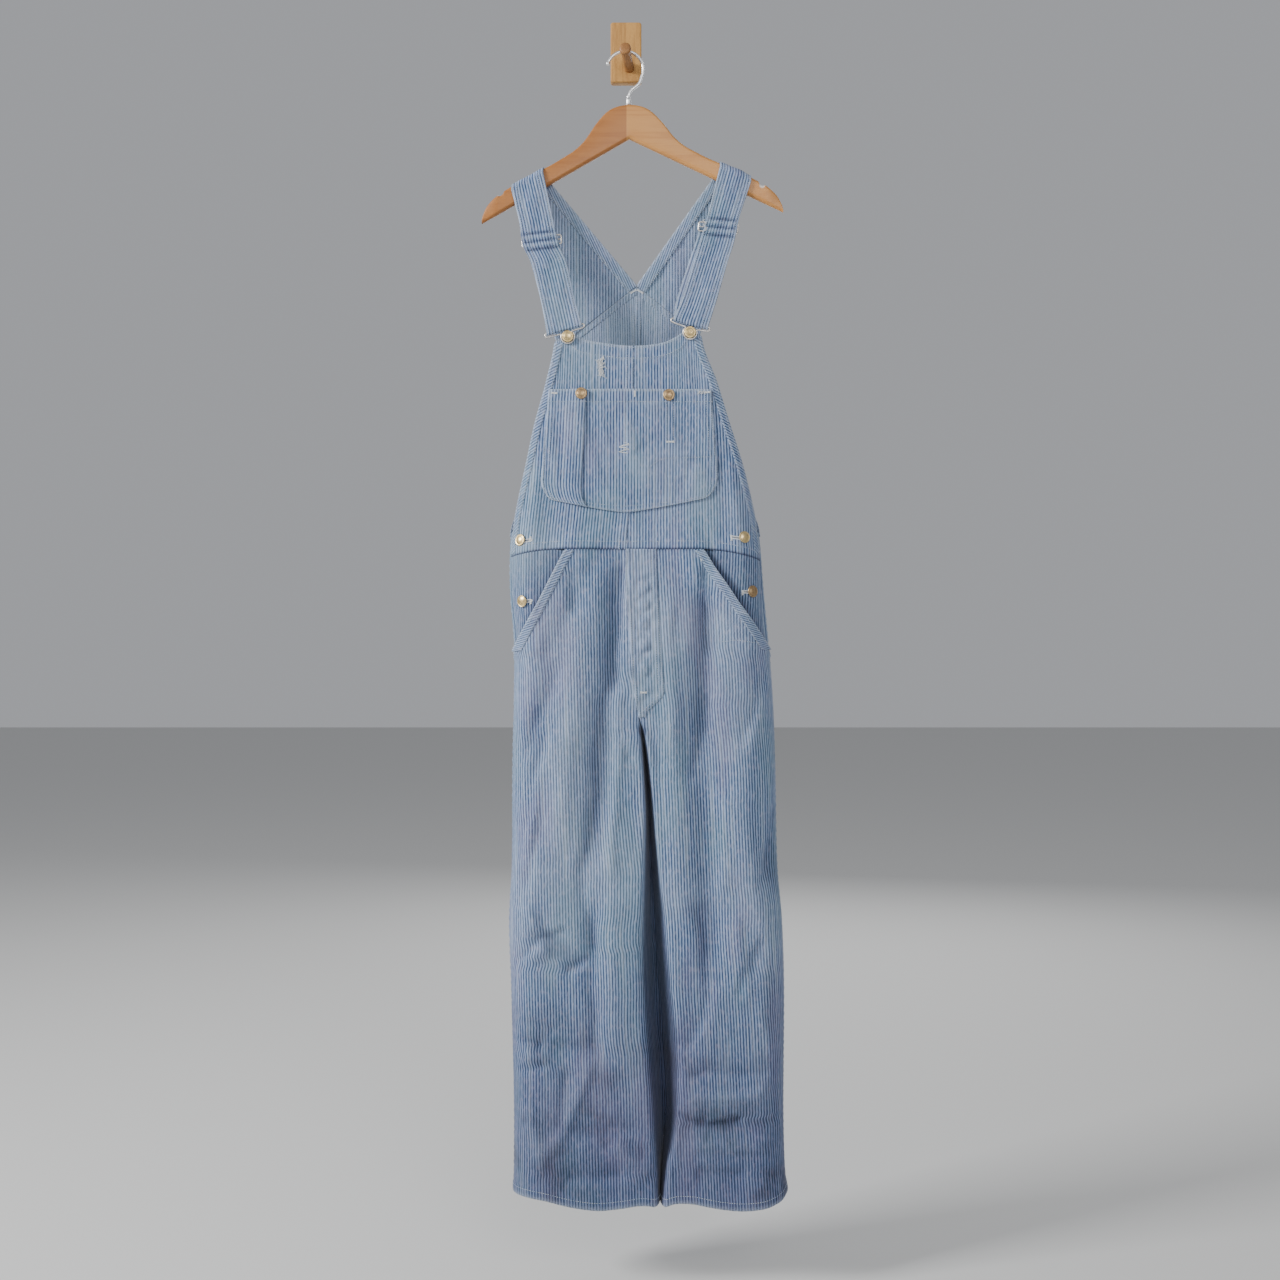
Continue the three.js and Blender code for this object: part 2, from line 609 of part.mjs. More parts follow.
// Height of the hanger's top edge at a place across the frame
function hangerTopZ(x) {
  let local = x - hangerTop.x;
  let edge = 0;
  for (let pass = 0; pass < 4; pass += 1) {
    edge = columnAt(hangerEdge, 'x', Math.abs(local), 'z');
    local = (x - hangerTop.x + edge * Math.sin(hangerTilt)) / Math.cos(hangerTilt);
  }
  return hangerTop.z + local * Math.sin(hangerTilt) + edge * Math.cos(hangerTilt);
}

// Straps. Each is one length of cloth: from the yoke seam up the back, over the hanger,
// down the front, round the bar of the buckle and back up behind itself to the slide.
// The front rows give the outer and inner edge and the depth of the outer face.
const strapClearance = 1.6; // between the hanger and the strap
const overHanger = hangerHalfThickness + strapClearance + cloth;
const barRound = wireRadius + 0.3 + cloth;
const straps = {
  left: {
    half: -1,
    onHanger: { outerX: -167, innerX: -121 },
    front: [
      { outerX: -155, outerZ: -263, innerX: -106, innerZ: -263, y: -57.5 },
      { outerX: -150, outerZ: -298, innerX: -97, innerZ: -298, y: -61 },
      { outerX: -138, outerZ: -324, innerX: -87, innerZ: -322, y: -62.5 },
      { outerX: -122, outerZ: -384, innerX: -75, innerZ: -378, y: -68 },
    ],
    bar: { outerX: -114, outerZ: -430, innerX: -64, innerZ: -416, y: -71.5 },
    shift: 0,
    slide: { x: -122.5, z: -292, y: -56.2, tilt: 7 },
    button: { x: -84, z: -434 },
  },
  right: {
    half: 1,
    onHanger: { outerX: 183, innerX: 138 },
    front: [
      { outerX: 165, outerZ: -258, innerX: 118, innerZ: -262, y: -57.5 },
      { outerX: 157, outerZ: -296, innerX: 107, innerZ: -296, y: -61 },
      { outerX: 149, outerZ: -320, innerX: 100, innerZ: -322, y: -62.5 },
      { outerX: 132, outerZ: -380, innerX: 81, innerZ: -380, y: -68 },
    ],
    bar: { outerX: 119, outerZ: -421, innerX: 70, innerZ: -408, y: -71.5 },
    shift: -7,
    slide: { x: 135, z: -272, y: -54.2, tilt: -5 },
    button: { x: 93.4, z: -428 },
  },
};

function strapStations(strap) {
  const stations = [];
  const push = (outer, inner) => stations.push({ outer, inner });
  const { half, onHanger, bar } = strap;
  const backEdge = sectionAt(half, 'back', -440);
  const seamX = backEdge.edge - half * backEdge.corner * (1 - Math.cos(backEdge.open));
  const innerX = yokeTop.x + half * seamGap * 2;
  const seam = {
    outer: onCloth(half, 'back', seamX, yokeLine(seamX) + 0.5),
    inner: onCloth(half, 'back', innerX, yokeLine(innerX) + 0.9),
  };
  const arcAt = (x, angle) => new THREE.Vector3(
    x,
    sideSeamY + overHanger * Math.cos(angle),
    hangerTopZ(x) - hangerHalfThickness + overHanger * Math.sin(angle),
  );
  const backSteps = 5;
  for (let i = 0; i < backSteps; i += 1) {
    const t = i / backSteps;
    push(
      seam.outer.clone().lerp(arcAt(onHanger.outerX, 0), t),
      seam.inner.clone().lerp(arcAt(onHanger.innerX, 0), t),
    );
  }
  const arcSteps = 8;
  for (let i = 0; i <= arcSteps; i += 1) {
    const angle = Math.PI * i / arcSteps;
    push(arcAt(onHanger.outerX, angle), arcAt(onHanger.innerX, angle));
  }
  for (const row of strap.front) {
    push(
      new THREE.Vector3(row.outerX, row.y, row.outerZ),
      new THREE.Vector3(row.innerX, row.y, row.innerZ),
    );
  }
  const roundSteps = 6;
  for (let i = 0; i <= roundSteps; i += 1) {
    const angle = Math.PI * i / roundSteps;
    const y = bar.y - barRound * Math.cos(angle);
    const drop = barRound * Math.sin(angle);
    push(
      new THREE.Vector3(bar.outerX, y, bar.outerZ - drop),
      new THREE.Vector3(bar.innerX, y, bar.innerZ - drop),
    );
  }
  const behind = 2 * cloth + layerGap + 0.1;
  for (const row of strap.front.slice(2).reverse()) {
    push(
      new THREE.Vector3(row.outerX + strap.shift, row.y + behind, row.outerZ),
      new THREE.Vector3(row.innerX + strap.shift, row.y + behind, row.innerZ),
    );
  }
  return stations;
}

for (const [name, strap] of Object.entries(straps)) {
  const stations = strapStations(strap);
  const last = stations.length - 1;
  const grid = (c, r) => {
    const place = r * last;
    const i = THREE.MathUtils.clamp(Math.floor(place), 0, last - 1);
    const t = place - i;
    const outer = stations[i].outer.clone().lerp(stations[i + 1].outer, t);
    const inner = stations[i].inner.clone().lerp(stations[i + 1].inner, t);
    return outer.lerp(inner, c);
  };
  const hint = { towards: [0, 1, 0], c: 0.5, r: 1.5 / last };
  add(`strap_${name}`, wall(grid, 3, last, -cloth, 0, hint), looks.stripe);
}

// Wire of round section along a route
function wireAlong(points, radius, steps, sectionSides = 8) {
  const section = new THREE.Shape();
  section.setFromPoints(Array.from({ length: sectionSides }, (_, k) => {
    const angle = 2 * Math.PI * k / sectionSides;
    return new THREE.Vector2(radius * Math.cos(angle), radius * Math.sin(angle));
  }));
  const route = new THREE.CatmullRomCurve3(points, false, 'centripetal');
  return new THREE.ExtrudeGeometry(section, { steps, extrudePath: route });
}

// Slide: a wire frame with a middle bar, held between the two layers of the strap
function slideGeometry({ x, y, z, tilt }) {
  const halfWide = 28.5;
  const halfHigh = 6.5;
  const round = 2.2;
  const route = [new THREE.Vector3(0.3, 0, -halfHigh)];
  const corners = [
    { x: halfWide, z: -halfHigh }, { x: halfWide, z: halfHigh },
    { x: -halfWide, z: halfHigh }, { x: -halfWide, z: -halfHigh },
  ];
  corners.forEach((corner, k) => {
    const sx = Math.sign(corner.x);
    const sz = Math.sign(corner.z);
    const flat = new THREE.Vector3(corner.x - sx * round, 0, corner.z);
    const upright = new THREE.Vector3(corner.x, 0, corner.z - sz * round);
    route.push(...(k % 2 === 0 ? [flat, upright] : [upright, flat]));
  });
  route.push(new THREE.Vector3(-0.3, 0, -halfHigh));
  const frame = wireAlong(route, wireRadius, 34, 6);
  const bar = new THREE.CylinderGeometry(wireRadius, wireRadius, 2 * halfWide, 6).rotateZ(Math.PI / 2);
  return join([frame, bar]).rotateY(-THREE.MathUtils.degToRad(tilt)).translate(x, y, z);
}

// Buckle: the bar in the fold of the strap, two sides that close in, and the round eye
// that hooks over the button
function buckleGeometry(bar, button) {
  const outer = new THREE.Vector3(bar.outerX, bar.y, bar.outerZ);
  const inner = new THREE.Vector3(bar.innerX, bar.y, bar.innerZ);
  const middle = outer.clone().lerp(inner, 0.5);
  const across = inner.clone().sub(outer).normalize();
  const down = new THREE.Vector3(across.z, 0, -across.x);
  if (down.z > 0) down.negate();
  const at = (u, v) => middle.clone().addScaledVector(across, u).addScaledVector(down, v);
  const halfBar = outer.distanceTo(inner) / 2;
  const eye = new THREE.Vector3(button.x, bar.y, button.z);
  const eyeU = eye.clone().sub(middle).dot(across);
  const eyeV = eye.clone().sub(middle).dot(down);
  const eyeRadius = 7.4;
  const route = [at(0.3, 0), at(halfBar + 1.2, 0), at(halfBar + 3.4, 2), at(halfBar + 2, 5)];
  for (let k = 0; k <= 6; k += 1) {
    const angle = THREE.MathUtils.degToRad(-35 + 250 * k / 6);
    route.push(at(eyeU + eyeRadius * Math.cos(angle), eyeV + eyeRadius * Math.sin(angle)));
  }
  route.push(at(-halfBar - 2, 5), at(-halfBar - 3.4, 2), at(-halfBar - 1.2, 0), at(-0.3, 0));
  return wireAlong(route, wireRadius, 50, 6);
}

// Brass button: a domed disc on a short shank, its axis along its own Y
function buttonGeometry(stand) {
  const profile = [
    [0, 0], [3, 0], [3, stand], [buttonRadius - 0.8, stand], [buttonRadius, stand + 0.9],
    [buttonRadius - 0.8, stand + 2.2], [4.5, stand + 3.2], [0, stand + 3.5],
  ].map(([x, y]) => new THREE.Vector2(x, y));
  return new THREE.LatheGeometry(profile, 16);
}

function addButton(name, foot, normal, stand) {
  const button = add(name, buttonGeometry(stand), looks.brass);
  button.position.copy(foot);
  button.quaternion.setFromUnitVectors(new THREE.Vector3(0, 1, 0), normal);
}

for (const [name, strap] of Object.entries(straps)) {
  add(`slide_${name}`, slideGeometry(strap.slide), looks.wire);
  add(`buckle_${name}`, buckleGeometry(strap.bar, strap.button), looks.wire);
  const { x, z } = strap.button;
  const foot = onCloth(strap.half, 'front', x, z).add(new THREE.Vector3(0, -0.4, 0));
  addButton(`bib_button_${name}`, foot, new THREE.Vector3(0, -1, 0), foot.y - strap.bar.y + wireRadius + 0.4);
}

// Buttons on the pocket and on the side openings. seat is the height of the foot above
// the smooth form of the cloth, which the flat facets of a rounded side lie below.
const smallButtons = [
  { name: 'pocket_button_left', x: -64, z: -518, seat: 2 * (cloth + layerGap) + 0.9 },
  { name: 'pocket_button_right', x: 62.5, z: -520, seat: cloth + layerGap + 0.9 },
  { name: 'side_button_left_top', x: -151, z: -730, seat: 0.15 },
  { name: 'side_button_left_low', x: -148, z: -818, seat: 0.1 },
  { name: 'side_button_right_top', x: 170.5, z: -726, seat: -0.6 },
  { name: 'side_button_right_low', x: 182, z: -804, seat: 0.1 },
];
for (const { name, x, z, seat } of smallButtons) {
  const half = x < 5 ? -1 : 1;
  const at = (dx, dz) => onCloth(half, 'front', x + dx, z + dz);
  const normal = at(2, 0).sub(at(-2, 0)).cross(at(0, 2).sub(at(0, -2))).normalize();
  if (normal.y > 0) normal.negate();
  addButton(name, at(0, 0).addScaledVector(normal, seat), normal, 1);
}

// Wall block, its corners rounded, and the peg that leans up and out of it
function blockGeometry(grow) {
  const w = block.width / 2 + grow;
  const h = block.height / 2 + grow;
  const r = block.corner;
  const shape = new THREE.Shape();
  shape.moveTo(-w + r, -h);
  shape.lineTo(w - r, -h);
  shape.absarc(w - r, -h + r, r, -Math.PI / 2, 0);
  shape.absarc(w - r, h - r, r, 0, Math.PI / 2);
  shape.absarc(-w + r, h - r, r, Math.PI / 2, Math.PI);
  shape.absarc(-w + r, -h + r, r, Math.PI, 1.5 * Math.PI);
  const solid = new THREE.ExtrudeGeometry(shape, {
    depth: block.depth + grow, bevelEnabled: false, curveSegments: 5,
  });
  return solid.rotateX(Math.PI / 2);
}
add('wall_block', blockGeometry(0), looks.wood);

const pegRoot = new THREE.Vector3(...peg.root);
const pegTip = new THREE.Vector3(...peg.tip);
const pegLine = pegTip.clone().sub(pegRoot);
function pegGeometry() {
  const length = pegLine.length();
  const buried = 8;
  const profile = [
    [0, -buried], [peg.radius, -buried], [peg.radius, length - 12], [peg.headRadius, length - 6],
    [peg.headRadius, length - 2], [peg.headRadius - 2.5, length], [0, length],
  ].map(([x, y]) => new THREE.Vector2(x, y));
  const body = new THREE.LatheGeometry(profile, 18);
  const turn = new THREE.Quaternion().setFromUnitVectors(
    new THREE.Vector3(0, 1, 0), pegLine.clone().normalize(),
  );
  body.applyQuaternion(turn).translate(pegRoot.x, pegRoot.y, pegRoot.z);
  return join([body], [blockGeometry(0.3)]);
}
add('wall_peg', pegGeometry(), looks.pegWood);

// Hook: a round bend that rests on the peg, closing to a shank that stands in the hanger
function hookGeometry() {
  const bend = 26.5;
  const t = (pegRoot.y - sideSeamY) / (pegRoot.y - pegTip.y);
  const pegHere = pegRoot.clone().lerp(pegTip, t);
  const centreX = -1;
  const topZ = pegHere.z + peg.radius / Math.cos(Math.atan2(pegLine.z, -pegLine.y)) + hookWireRadius + 0.7;
  const centreZ = topZ - bend;
  const points = [];
  for (let k = 0; k <= 9; k += 1) {
    const angle = THREE.MathUtils.degToRad(168 - 186 * k / 9);
    points.push(new THREE.Vector3(centreX + bend * Math.cos(angle), sideSeamY, centreZ + bend * Math.sin(angle)));
  }
  const foot = new THREE.Vector3(hangerTop.x, sideSeamY, hangerTop.z + 0.4);
  points.push(
    new THREE.Vector3(19, sideSeamY, -58),
    new THREE.Vector3(foot.x + 3.5, sideSeamY, -69),
    new THREE.Vector3(foot.x + 0.5, sideSeamY, -80),
    foot,
  );
  const wire = wireAlong(points, hookWireRadius, 42);
  const sleeve = new THREE.CylinderGeometry(3.3, 4, 13, 12).rotateX(Math.PI / 2);
  sleeve.translate(foot.x + 0.4, sideSeamY, foot.z + 6.6);
  return join([wire, sleeve]);
}
add('hanger_hook', hookGeometry(), looks.wire);

export default dungarees;
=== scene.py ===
# %% [markdown]
# # Striped bib dungarees on a hanger
# The garment hangs by its straps on a wooden hanger, and the hanger's hook hangs on a peg
# in a small block on the wall. The frame loaded first holds the plain solids. Each cloth
# piece is then made again on the same form with its creases, seams and stitches. All
# places are worked out in millimetres and turned to metres when a mesh is made.

# %% Load the frame
import json
import math
import bmesh
import bpy
import numpy as np
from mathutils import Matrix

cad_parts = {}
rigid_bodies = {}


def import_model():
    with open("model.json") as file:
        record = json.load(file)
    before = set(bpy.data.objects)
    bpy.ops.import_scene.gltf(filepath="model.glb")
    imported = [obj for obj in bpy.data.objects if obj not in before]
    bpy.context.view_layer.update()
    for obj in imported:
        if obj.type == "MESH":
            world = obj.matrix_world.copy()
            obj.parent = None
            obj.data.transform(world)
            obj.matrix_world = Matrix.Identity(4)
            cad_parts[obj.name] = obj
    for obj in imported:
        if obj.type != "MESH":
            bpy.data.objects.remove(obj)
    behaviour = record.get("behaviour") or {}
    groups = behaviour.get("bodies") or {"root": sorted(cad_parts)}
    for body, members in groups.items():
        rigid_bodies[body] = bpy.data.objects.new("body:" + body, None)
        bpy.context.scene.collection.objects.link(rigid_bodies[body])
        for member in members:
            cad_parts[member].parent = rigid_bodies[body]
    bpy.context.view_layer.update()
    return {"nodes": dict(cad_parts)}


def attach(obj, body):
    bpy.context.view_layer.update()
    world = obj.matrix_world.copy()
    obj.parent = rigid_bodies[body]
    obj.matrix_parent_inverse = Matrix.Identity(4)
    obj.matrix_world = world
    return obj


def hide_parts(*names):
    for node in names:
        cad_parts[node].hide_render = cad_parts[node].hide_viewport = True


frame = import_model()
MM = 0.001
print("nodes in the frame:", len(frame["nodes"]))

# %% [markdown]
# ## Camera
# The garment was seen straight on from a little over two metres, at the height of its
# waist. A level camera keeps upright lines upright, which suits a long garment. The
# distance shows in how much the round hems bow, and the lens follows from the size that
# the garment then has in the square picture.

# %% Camera
PICTURE = 1280
SENSOR = 36.0
focal_pixels = 1500.0
camera_place = (20.8 * MM, -2245 * MM, -873.8 * MM)


def linked(name, data):
    """A new object with the data, in the scene."""
    made = bpy.data.objects.new(name, data)
    bpy.context.scene.collection.objects.link(made)
    return made


camera_data = bpy.data.cameras.new("camera")
camera_data.sensor_width = SENSOR
camera_data.lens = SENSOR * focal_pixels / PICTURE
camera_data.clip_end = 60
camera = linked("camera", camera_data)
camera.location = camera_place
camera.rotation_euler = (math.radians(90), 0, 0)
bpy.context.scene.camera = camera
print("lens in mm:", round(camera_data.lens, 2))

# %% [markdown]
# ## Floor and light
# A pale floor well below the hems and a pale sky stand for a plain studio. One strong lamp
# from the upper left rakes across the folds and shapes them. A wider and weaker one in
# front softens its shadows, and a third behind keeps the back readable.

# %% Floor and light
floor_z = -1820 * MM


def fresh_material(name):
    """A new material, its node tree and its shader."""
    made = bpy.data.materials.new(name)
    made.use_nodes = True
    return made, made.node_tree, made.node_tree.nodes["Principled BSDF"]


def simple_material(name, colour, roughness):
    made, _, shader = fresh_material(name)
    shader.inputs["Base Color"].default_value = (*colour, 1)
    shader.inputs["Roughness"].default_value = roughness
    return made


floor_mesh = bpy.data.meshes.new("floor")
floor_reach = 14.0
corners = [(-1, -1), (1, -1), (1, 1), (-1, 1)]
floor_mesh.from_pydata([(x * floor_reach, y * floor_reach, floor_z) for x, y in corners], [], [(0, 1, 2, 3)])
floor_mesh.materials.append(simple_material("floor paint", (0.62, 0.62, 0.61), 0.9))
floor = linked("floor", floor_mesh)

world = bpy.data.worlds.new("studio")
world.use_nodes = True
sky = world.node_tree.nodes["Background"]
sky.inputs["Color"].default_value = (0.93, 0.95, 1.0, 1)
sky.inputs["Strength"].default_value = 0.4
bpy.context.scene.world = world

garment_middle = np.array([0.02, -0.05, -0.95])
# name, place, size and power of each lamp, all aimed at the middle of the garment
lamps = [
    ("key", (-3.1, -1.5, 0.7), 0.9, 170),
    ("front", (0.9, -3.6, 0.6), 2.0, 50),
    ("rim", (0.6, 2.8, 0.4), 2.4, 45),
]
for name, place, size, power in lamps:
    lamp_data = bpy.data.lights.new(name, "AREA")
    lamp_data.size = size
    lamp_data.energy = power
    lamp = linked(name, lamp_data)
    lamp.location = place
    aim = garment_middle - np.array(place)
    tilt = math.atan2(math.hypot(aim[0], aim[1]), -aim[2])
    lamp.rotation_euler = (tilt, 0, math.atan2(aim[1], aim[0]) - math.pi / 2)
print("lamps:", len(lamps))

# %% [markdown]
# ## The form of the garment
# The body and each leg are flattened tubes. A short table gives, for some heights, where
# the side seams are, how deep the front and back lie, and how wide the rounded side is.
# A second table gives the line between the two halves: the bib seam, the edge of the fly
# and the middle of the gap between the legs. Smooth curves through the rows give every
# height between them.

# %% Tables of the form
SIDE_Y = -45.0  # depth of the side seams and the inseams
WAIST_Z = -743.0
HEM_Z = -1677.0
CROTCH_TOP_Z = -974.0
CROTCH_Z = -1036.0

form = {
    "z": [-180, -434, -500, -560, -620, -690, -716, -745, -800, -880, -960, -1050, -1200, -1285,
          -1380, -1550, -1640, -1700],
    "left": [-127, -127, -136, -148, -156, -166, -168, -170, -170, -164, -164, -166, -167, -171,
             -168, -164, -164, -165],
    "right": [135, 135, 153, 167, 181, 193, 195, 198, 202, 209.5, 215.5, 219, 222, 229, 232, 231, 233, 238],
    "front": [-62, -68, -73, -78, -82, -87, -90, -93, -96, -96, -93, -88, -86, -86, -86, -85, -85, -85],
    "back": [-26, -14, -12, -11, -10, -9, -9, -8, -7, -6, -6, -6, -6, -6, -6, -6, -6, -6],
    "corner": [40, 40, 40, 40, 40, 40, 40, 40, 42, 44, 44, 42, 40, 40, 40, 40, 40, 40],
    "front_open": [70, 68, 62, 55, 46, 35, 31, 28, 28, 26, 0, 0, 0, 0, 0, 0, 0, 0],
    "back_open": [72, 70, 64, 57, 48, 27, 3, 0, 0, 0, 0, 0, 0, 0, 0, 0, 0, 0],
}
halves = {
    "z": [-340, -434, -640, -745, -860, -950, -1016, -1110, -1200, -1340, -1460, -1560, -1640, -1700],
    "front": [13, 12, 9, 1, 6, 13, 25, 33.5, 37.5, 43, 52, 57, 52, 50],
    "back": [16, 11, 9, 7, 10, 15, 25, 33.5, 37.5, 43, 52, 57, 52, 50],
    "inner": [8, 8, 8, 8, 8, 9, 7, 8, 15, 27, 30, 25, 15, 9],
}


def column(table, name, at, key="z"):
    """Smooth value of a named column at each place in at."""
    keys = np.array(table[key], float)
    values = np.array(table[name], float)
    if keys[0] > keys[-1]:
        keys, values = keys[::-1], values[::-1]
    slopes = np.zeros_like(values)
    slopes[1:-1] = (values[2:] - values[:-2]) / (keys[2:] - keys[:-2])
    at = np.clip(np.asarray(at, float), keys[0], keys[-1])
    i = np.clip(np.searchsorted(keys, at, side="right") - 1, 0, len(keys) - 2)
    span = keys[i + 1] - keys[i]
    t = (at - keys[i]) / span
    return (
        values[i] * (2 * t**3 - 3 * t**2 + 1) + values[i + 1] * (3 * t**2 - 2 * t**3)
        + span * (slopes[i] * (t**3 - 2 * t**2 + t) + slopes[i + 1] * (t**3 - t**2))
    )


def smooth(low, high, value):
    t = np.clip((value - low) / (high - low), 0, 1)
    return t * t * (3 - 2 * t)


print("heights in the table:", len(form["z"]))

# %% [markdown]
# ## Folds and creases
# Hanging cloth falls in long upright folds, and washed cloth keeps short creases where it
# was bent. Each one is placed as a line with a width and a rise, a trough where
# the rise is below zero. The line wavers a little and its two flanks differ, because a
# straight even groove looks pressed by a machine. The first lists are the large folds
# that the plain solid has too, and the others are the smaller creases on top of them.

# %% Folds and creases
# x and z of the start, x and z of the end, width, rise, all in mm
main_folds = {
    "front": [
        (-20, -770, -20, -960, 15, -7), (-24, -950, -40, -1190, 17, -9), (-52, -800, -105, -1200, 20, 6),
        (-118, -960, -128, -1190, 18, -6), (114, -790, 110, -1060, 16, -9), (108, -1050, 122, -1340, 18, -8),
        (70, -860, 74, -1240, 18, 5), (160, -960, 178, -1260, 18, 5), (-140, -1290, -60, -1345, 15, -7),
        (-130, -1455, -30, -1470, 13, -5), (-120, -1585, 20, -1580, 13, -5), (95, -1570, 215, -1580, 14, -6),
        (200, -1160, 222, -1255, 14, -7),
    ],
    "back": [
        (-45, -640, -62, -930, 20, 5), (62, -660, 92, -960, 20, 5), (-100, -980, -84, -1240, 20, -7),
        (128, -1000, 120, -1260, 20, -7), (-140, -1330, -30, -1350, 16, -6), (80, -1345, 205, -1330, 16, -6),
        (-120, -1560, 0, -1575, 14, -5), (100, -1575, 210, -1560, 14, -5),
    ],
}
creases = {
    "front": [
        (-7, -752, -14, -945, 8, -4.2), (-31, -920, -62, -1230, 10, -3.4), (-62, -1215, -44, -1330, 9, -2.6),
        (-72, -770, -78, -840, 10, -2.2), (-96, -905, -150, -1050, 13, -3.0), (-100, -1000, -150, -1200, 10, 3.0),
        (-8, -930, -22, -1225, 11, 2.8), (-20, -1225, -16, -1480, 18, 3.6), (-45, -1250, -44, -1480, 6, -3.0),
        (-160, -1342, -118, -1296, 6, -2.8), (-120, -1297, -84, -1290, 6, -2.0), (-88, -1352, -46, -1336, 5, -3.0),
        (-150, -1255, -110, -1330, 12, 3.4), (-158, -1450, -116, -1458, 6, -3.6), (-147, -1419, -100, -1436, 7, -2.2),
        (-156, -1497, -112, -1490, 6, -2.8), (-150, -1473, -110, -1476, 7, 2.2), (-80, -1490, -96, -1585, 10, -2.8),
        (-46, -1470, -108, -1625, 11, 3.0), (-92, -1655, 3, -1643, 11, -3.4), (-20, -1600, 40, -1640, 11, 2.4),
        (74, -1556, 118, -1573, 6, -3.4), (118, -1573, 168, -1566, 6, -3.0), (88, -1502, 212, -1494, 9, -2.6),
        (90, -1535, 214, -1524, 9, 2.4), (94, -1600, 200, -1610, 10, 2.0), (100, -1645, 175, -1648, 12, -2.6),
        (64, -1480, 68, -1655, 5, -2.4), (76, -1500, 70, -1650, 5, 1.6), (104, -1250, 120, -1380, 12, -3.0),
        (121, -1375, 88, -1470, 11, -2.6), (197, -1300, 163, -1395, 9, -2.4), (160, -1270, 172, -1400, 12, 2.4),
        (217, -1105, 196, -1232, 8, -3.2), (200, -915, 170, -1030, 10, -2.4), (114, -760, 114, -900, 8, -2.8),
        (120, -950, 88, -1080, 10, -2.4), (140, -1090, 146, -1240, 12, 2.2), (62, -800, 66, -1030, 12, 2.0),
        (46, -1060, 58, -1300, 10, -1.6), (-140, -1540, -120, -1640, 9, 2.0), (190, -1400, 214, -1480, 9, 2.0),
        (-12, -1005, 10, -1050, 7, -1.6), (40, -1000, 52, -1060, 8, -1.8), (-120, -1120, -150, -1240, 9, -2.0),
        (-118, -600, -112, -735, 9, -1.2), (142, -600, 150, -735, 9, -1.2), (-60, -704, 60, -712, 7, -0.8),
        (-92, -470, -100, -505, 8, -1.0), (96, -470, 100, -506, 8, -1.0),
    ],
    "back": [
        (-60, -470, -82, -640, 12, -2.2), (70, -460, 100, -650, 12, -2.2), (-30, -560, -40, -760, 12, 2.2),
        (40, -560, 52, -780, 12, 2.0), (-110, -700, -126, -900, 14, -2.4), (130, -690, 158, -900, 14, -2.4),
        (-20, -900, -60, -1010, 10, -3.0), (44, -900, 96, -1010, 10, -3.0), (-60, -960, -130, -1040, 10, -2.2),
        (90, -955, 180, -1040, 10, -2.2), (-50, -1060, -64, -1300, 13, 3.0), (76, -1060, 84, -1320, 13, 3.0),
        (-140, -1290, -96, -1322, 7, -2.8), (-100, -1362, -50, -1376, 6, -2.6), (96, -1300, 160, -1322, 7, -2.8),
        (150, -1366, 206, -1378, 6, -2.6), (-130, -1460, -60, -1474, 7, -2.8), (110, -1466, 190, -1456, 7, -2.8),
        (-90, -1500, -110, -1620, 11, 2.6), (140, -1500, 160, -1620, 11, 2.6), (-120, -1650, 0, -1645, 11, -2.6),
        (90, -1648, 200, -1652, 11, -2.6), (176, -1100, 190, -1260, 12, -2.6), (-140, -1100, -132, -1260, 12, -2.4),
    ],
}
crease_depth = 1.75  # how many times deeper than listed, as old cloth keeps its creases


def plain_folds(face, x, z):
    """The large folds, as even as those of the solid."""
    total = np.zeros(np.broadcast(x, z).shape)
    for x0, z0, x1, z1, width, rise in main_folds[face]:
        dx, dz = x1 - x0, z1 - z0
        along = np.clip(((x - x0) * dx + (z - z0) * dz) / (dx * dx + dz * dz), 0, 1)
        off = (x - x0 - dx * along) ** 2 + (z - z0 - dz * along) ** 2
        taper = np.sqrt(np.maximum(0.05, 4 * along * (1 - along)))
        total += rise * taper * np.exp(-off / width**2)
    return total


def fine_creases(face, x, z):
    """The smaller creases, wavering, with one flank steeper than the other."""
    total = np.zeros(np.broadcast(x, z).shape)
    for k, (x0, z0, x1, z1, width, rise) in enumerate(creases[face]):
        dx, dz = x1 - x0, z1 - z0
        length = math.hypot(dx, dz)
        along = ((x - x0) * dx + (z - z0) * dz) / length**2
        off = ((x - x0) * dz - (z - z0) * dx) / length
        off = off + 2.6 * np.sin(along * length / 31 + k * 1.7) + 1.3 * np.sin(along * length / 13 + k)
        steep = 1 + 0.45 * np.tanh(off / width) * (1 if k % 2 else -1)
        ends = np.exp(-(np.maximum(0, np.abs(along - 0.5) * 2 - 0.72) ** 2) / 0.055)
        total += rise * ends * np.exp(-((off * steep) ** 2) / width**2)
    return total * crease_depth


def fold_at(face, x, z):
    total = plain_folds(face, x, z) + fine_creases(face, x, z)
    ripple = 0.5 * np.sin(x / 9.7 + np.sin(z / 61) * 2.1) * np.sin(z / 83 + 0.4 * np.sin(x / 23))
    ripple = ripple + 0.3 * np.sin(z / 17 + x / 12 + 2 * np.sin(x / 31)) * np.sin(z / 47 + 1.3)
    return total + ripple * smooth(-700, -800, z)


def fold_wear(face, x, z):
    """Painted shade darkens the troughs; ridges are made paler, partly rubbed wear and partly painted light."""
    fold = fold_at(face, x, z)
    return np.where(fold < 0, -0.5 * np.minimum(1, -fold / 9), 0.16 * np.minimum(1, fold / 8))


print("folds and creases:", sum(len(v) for v in (*main_folds.values(), *creases.values())))

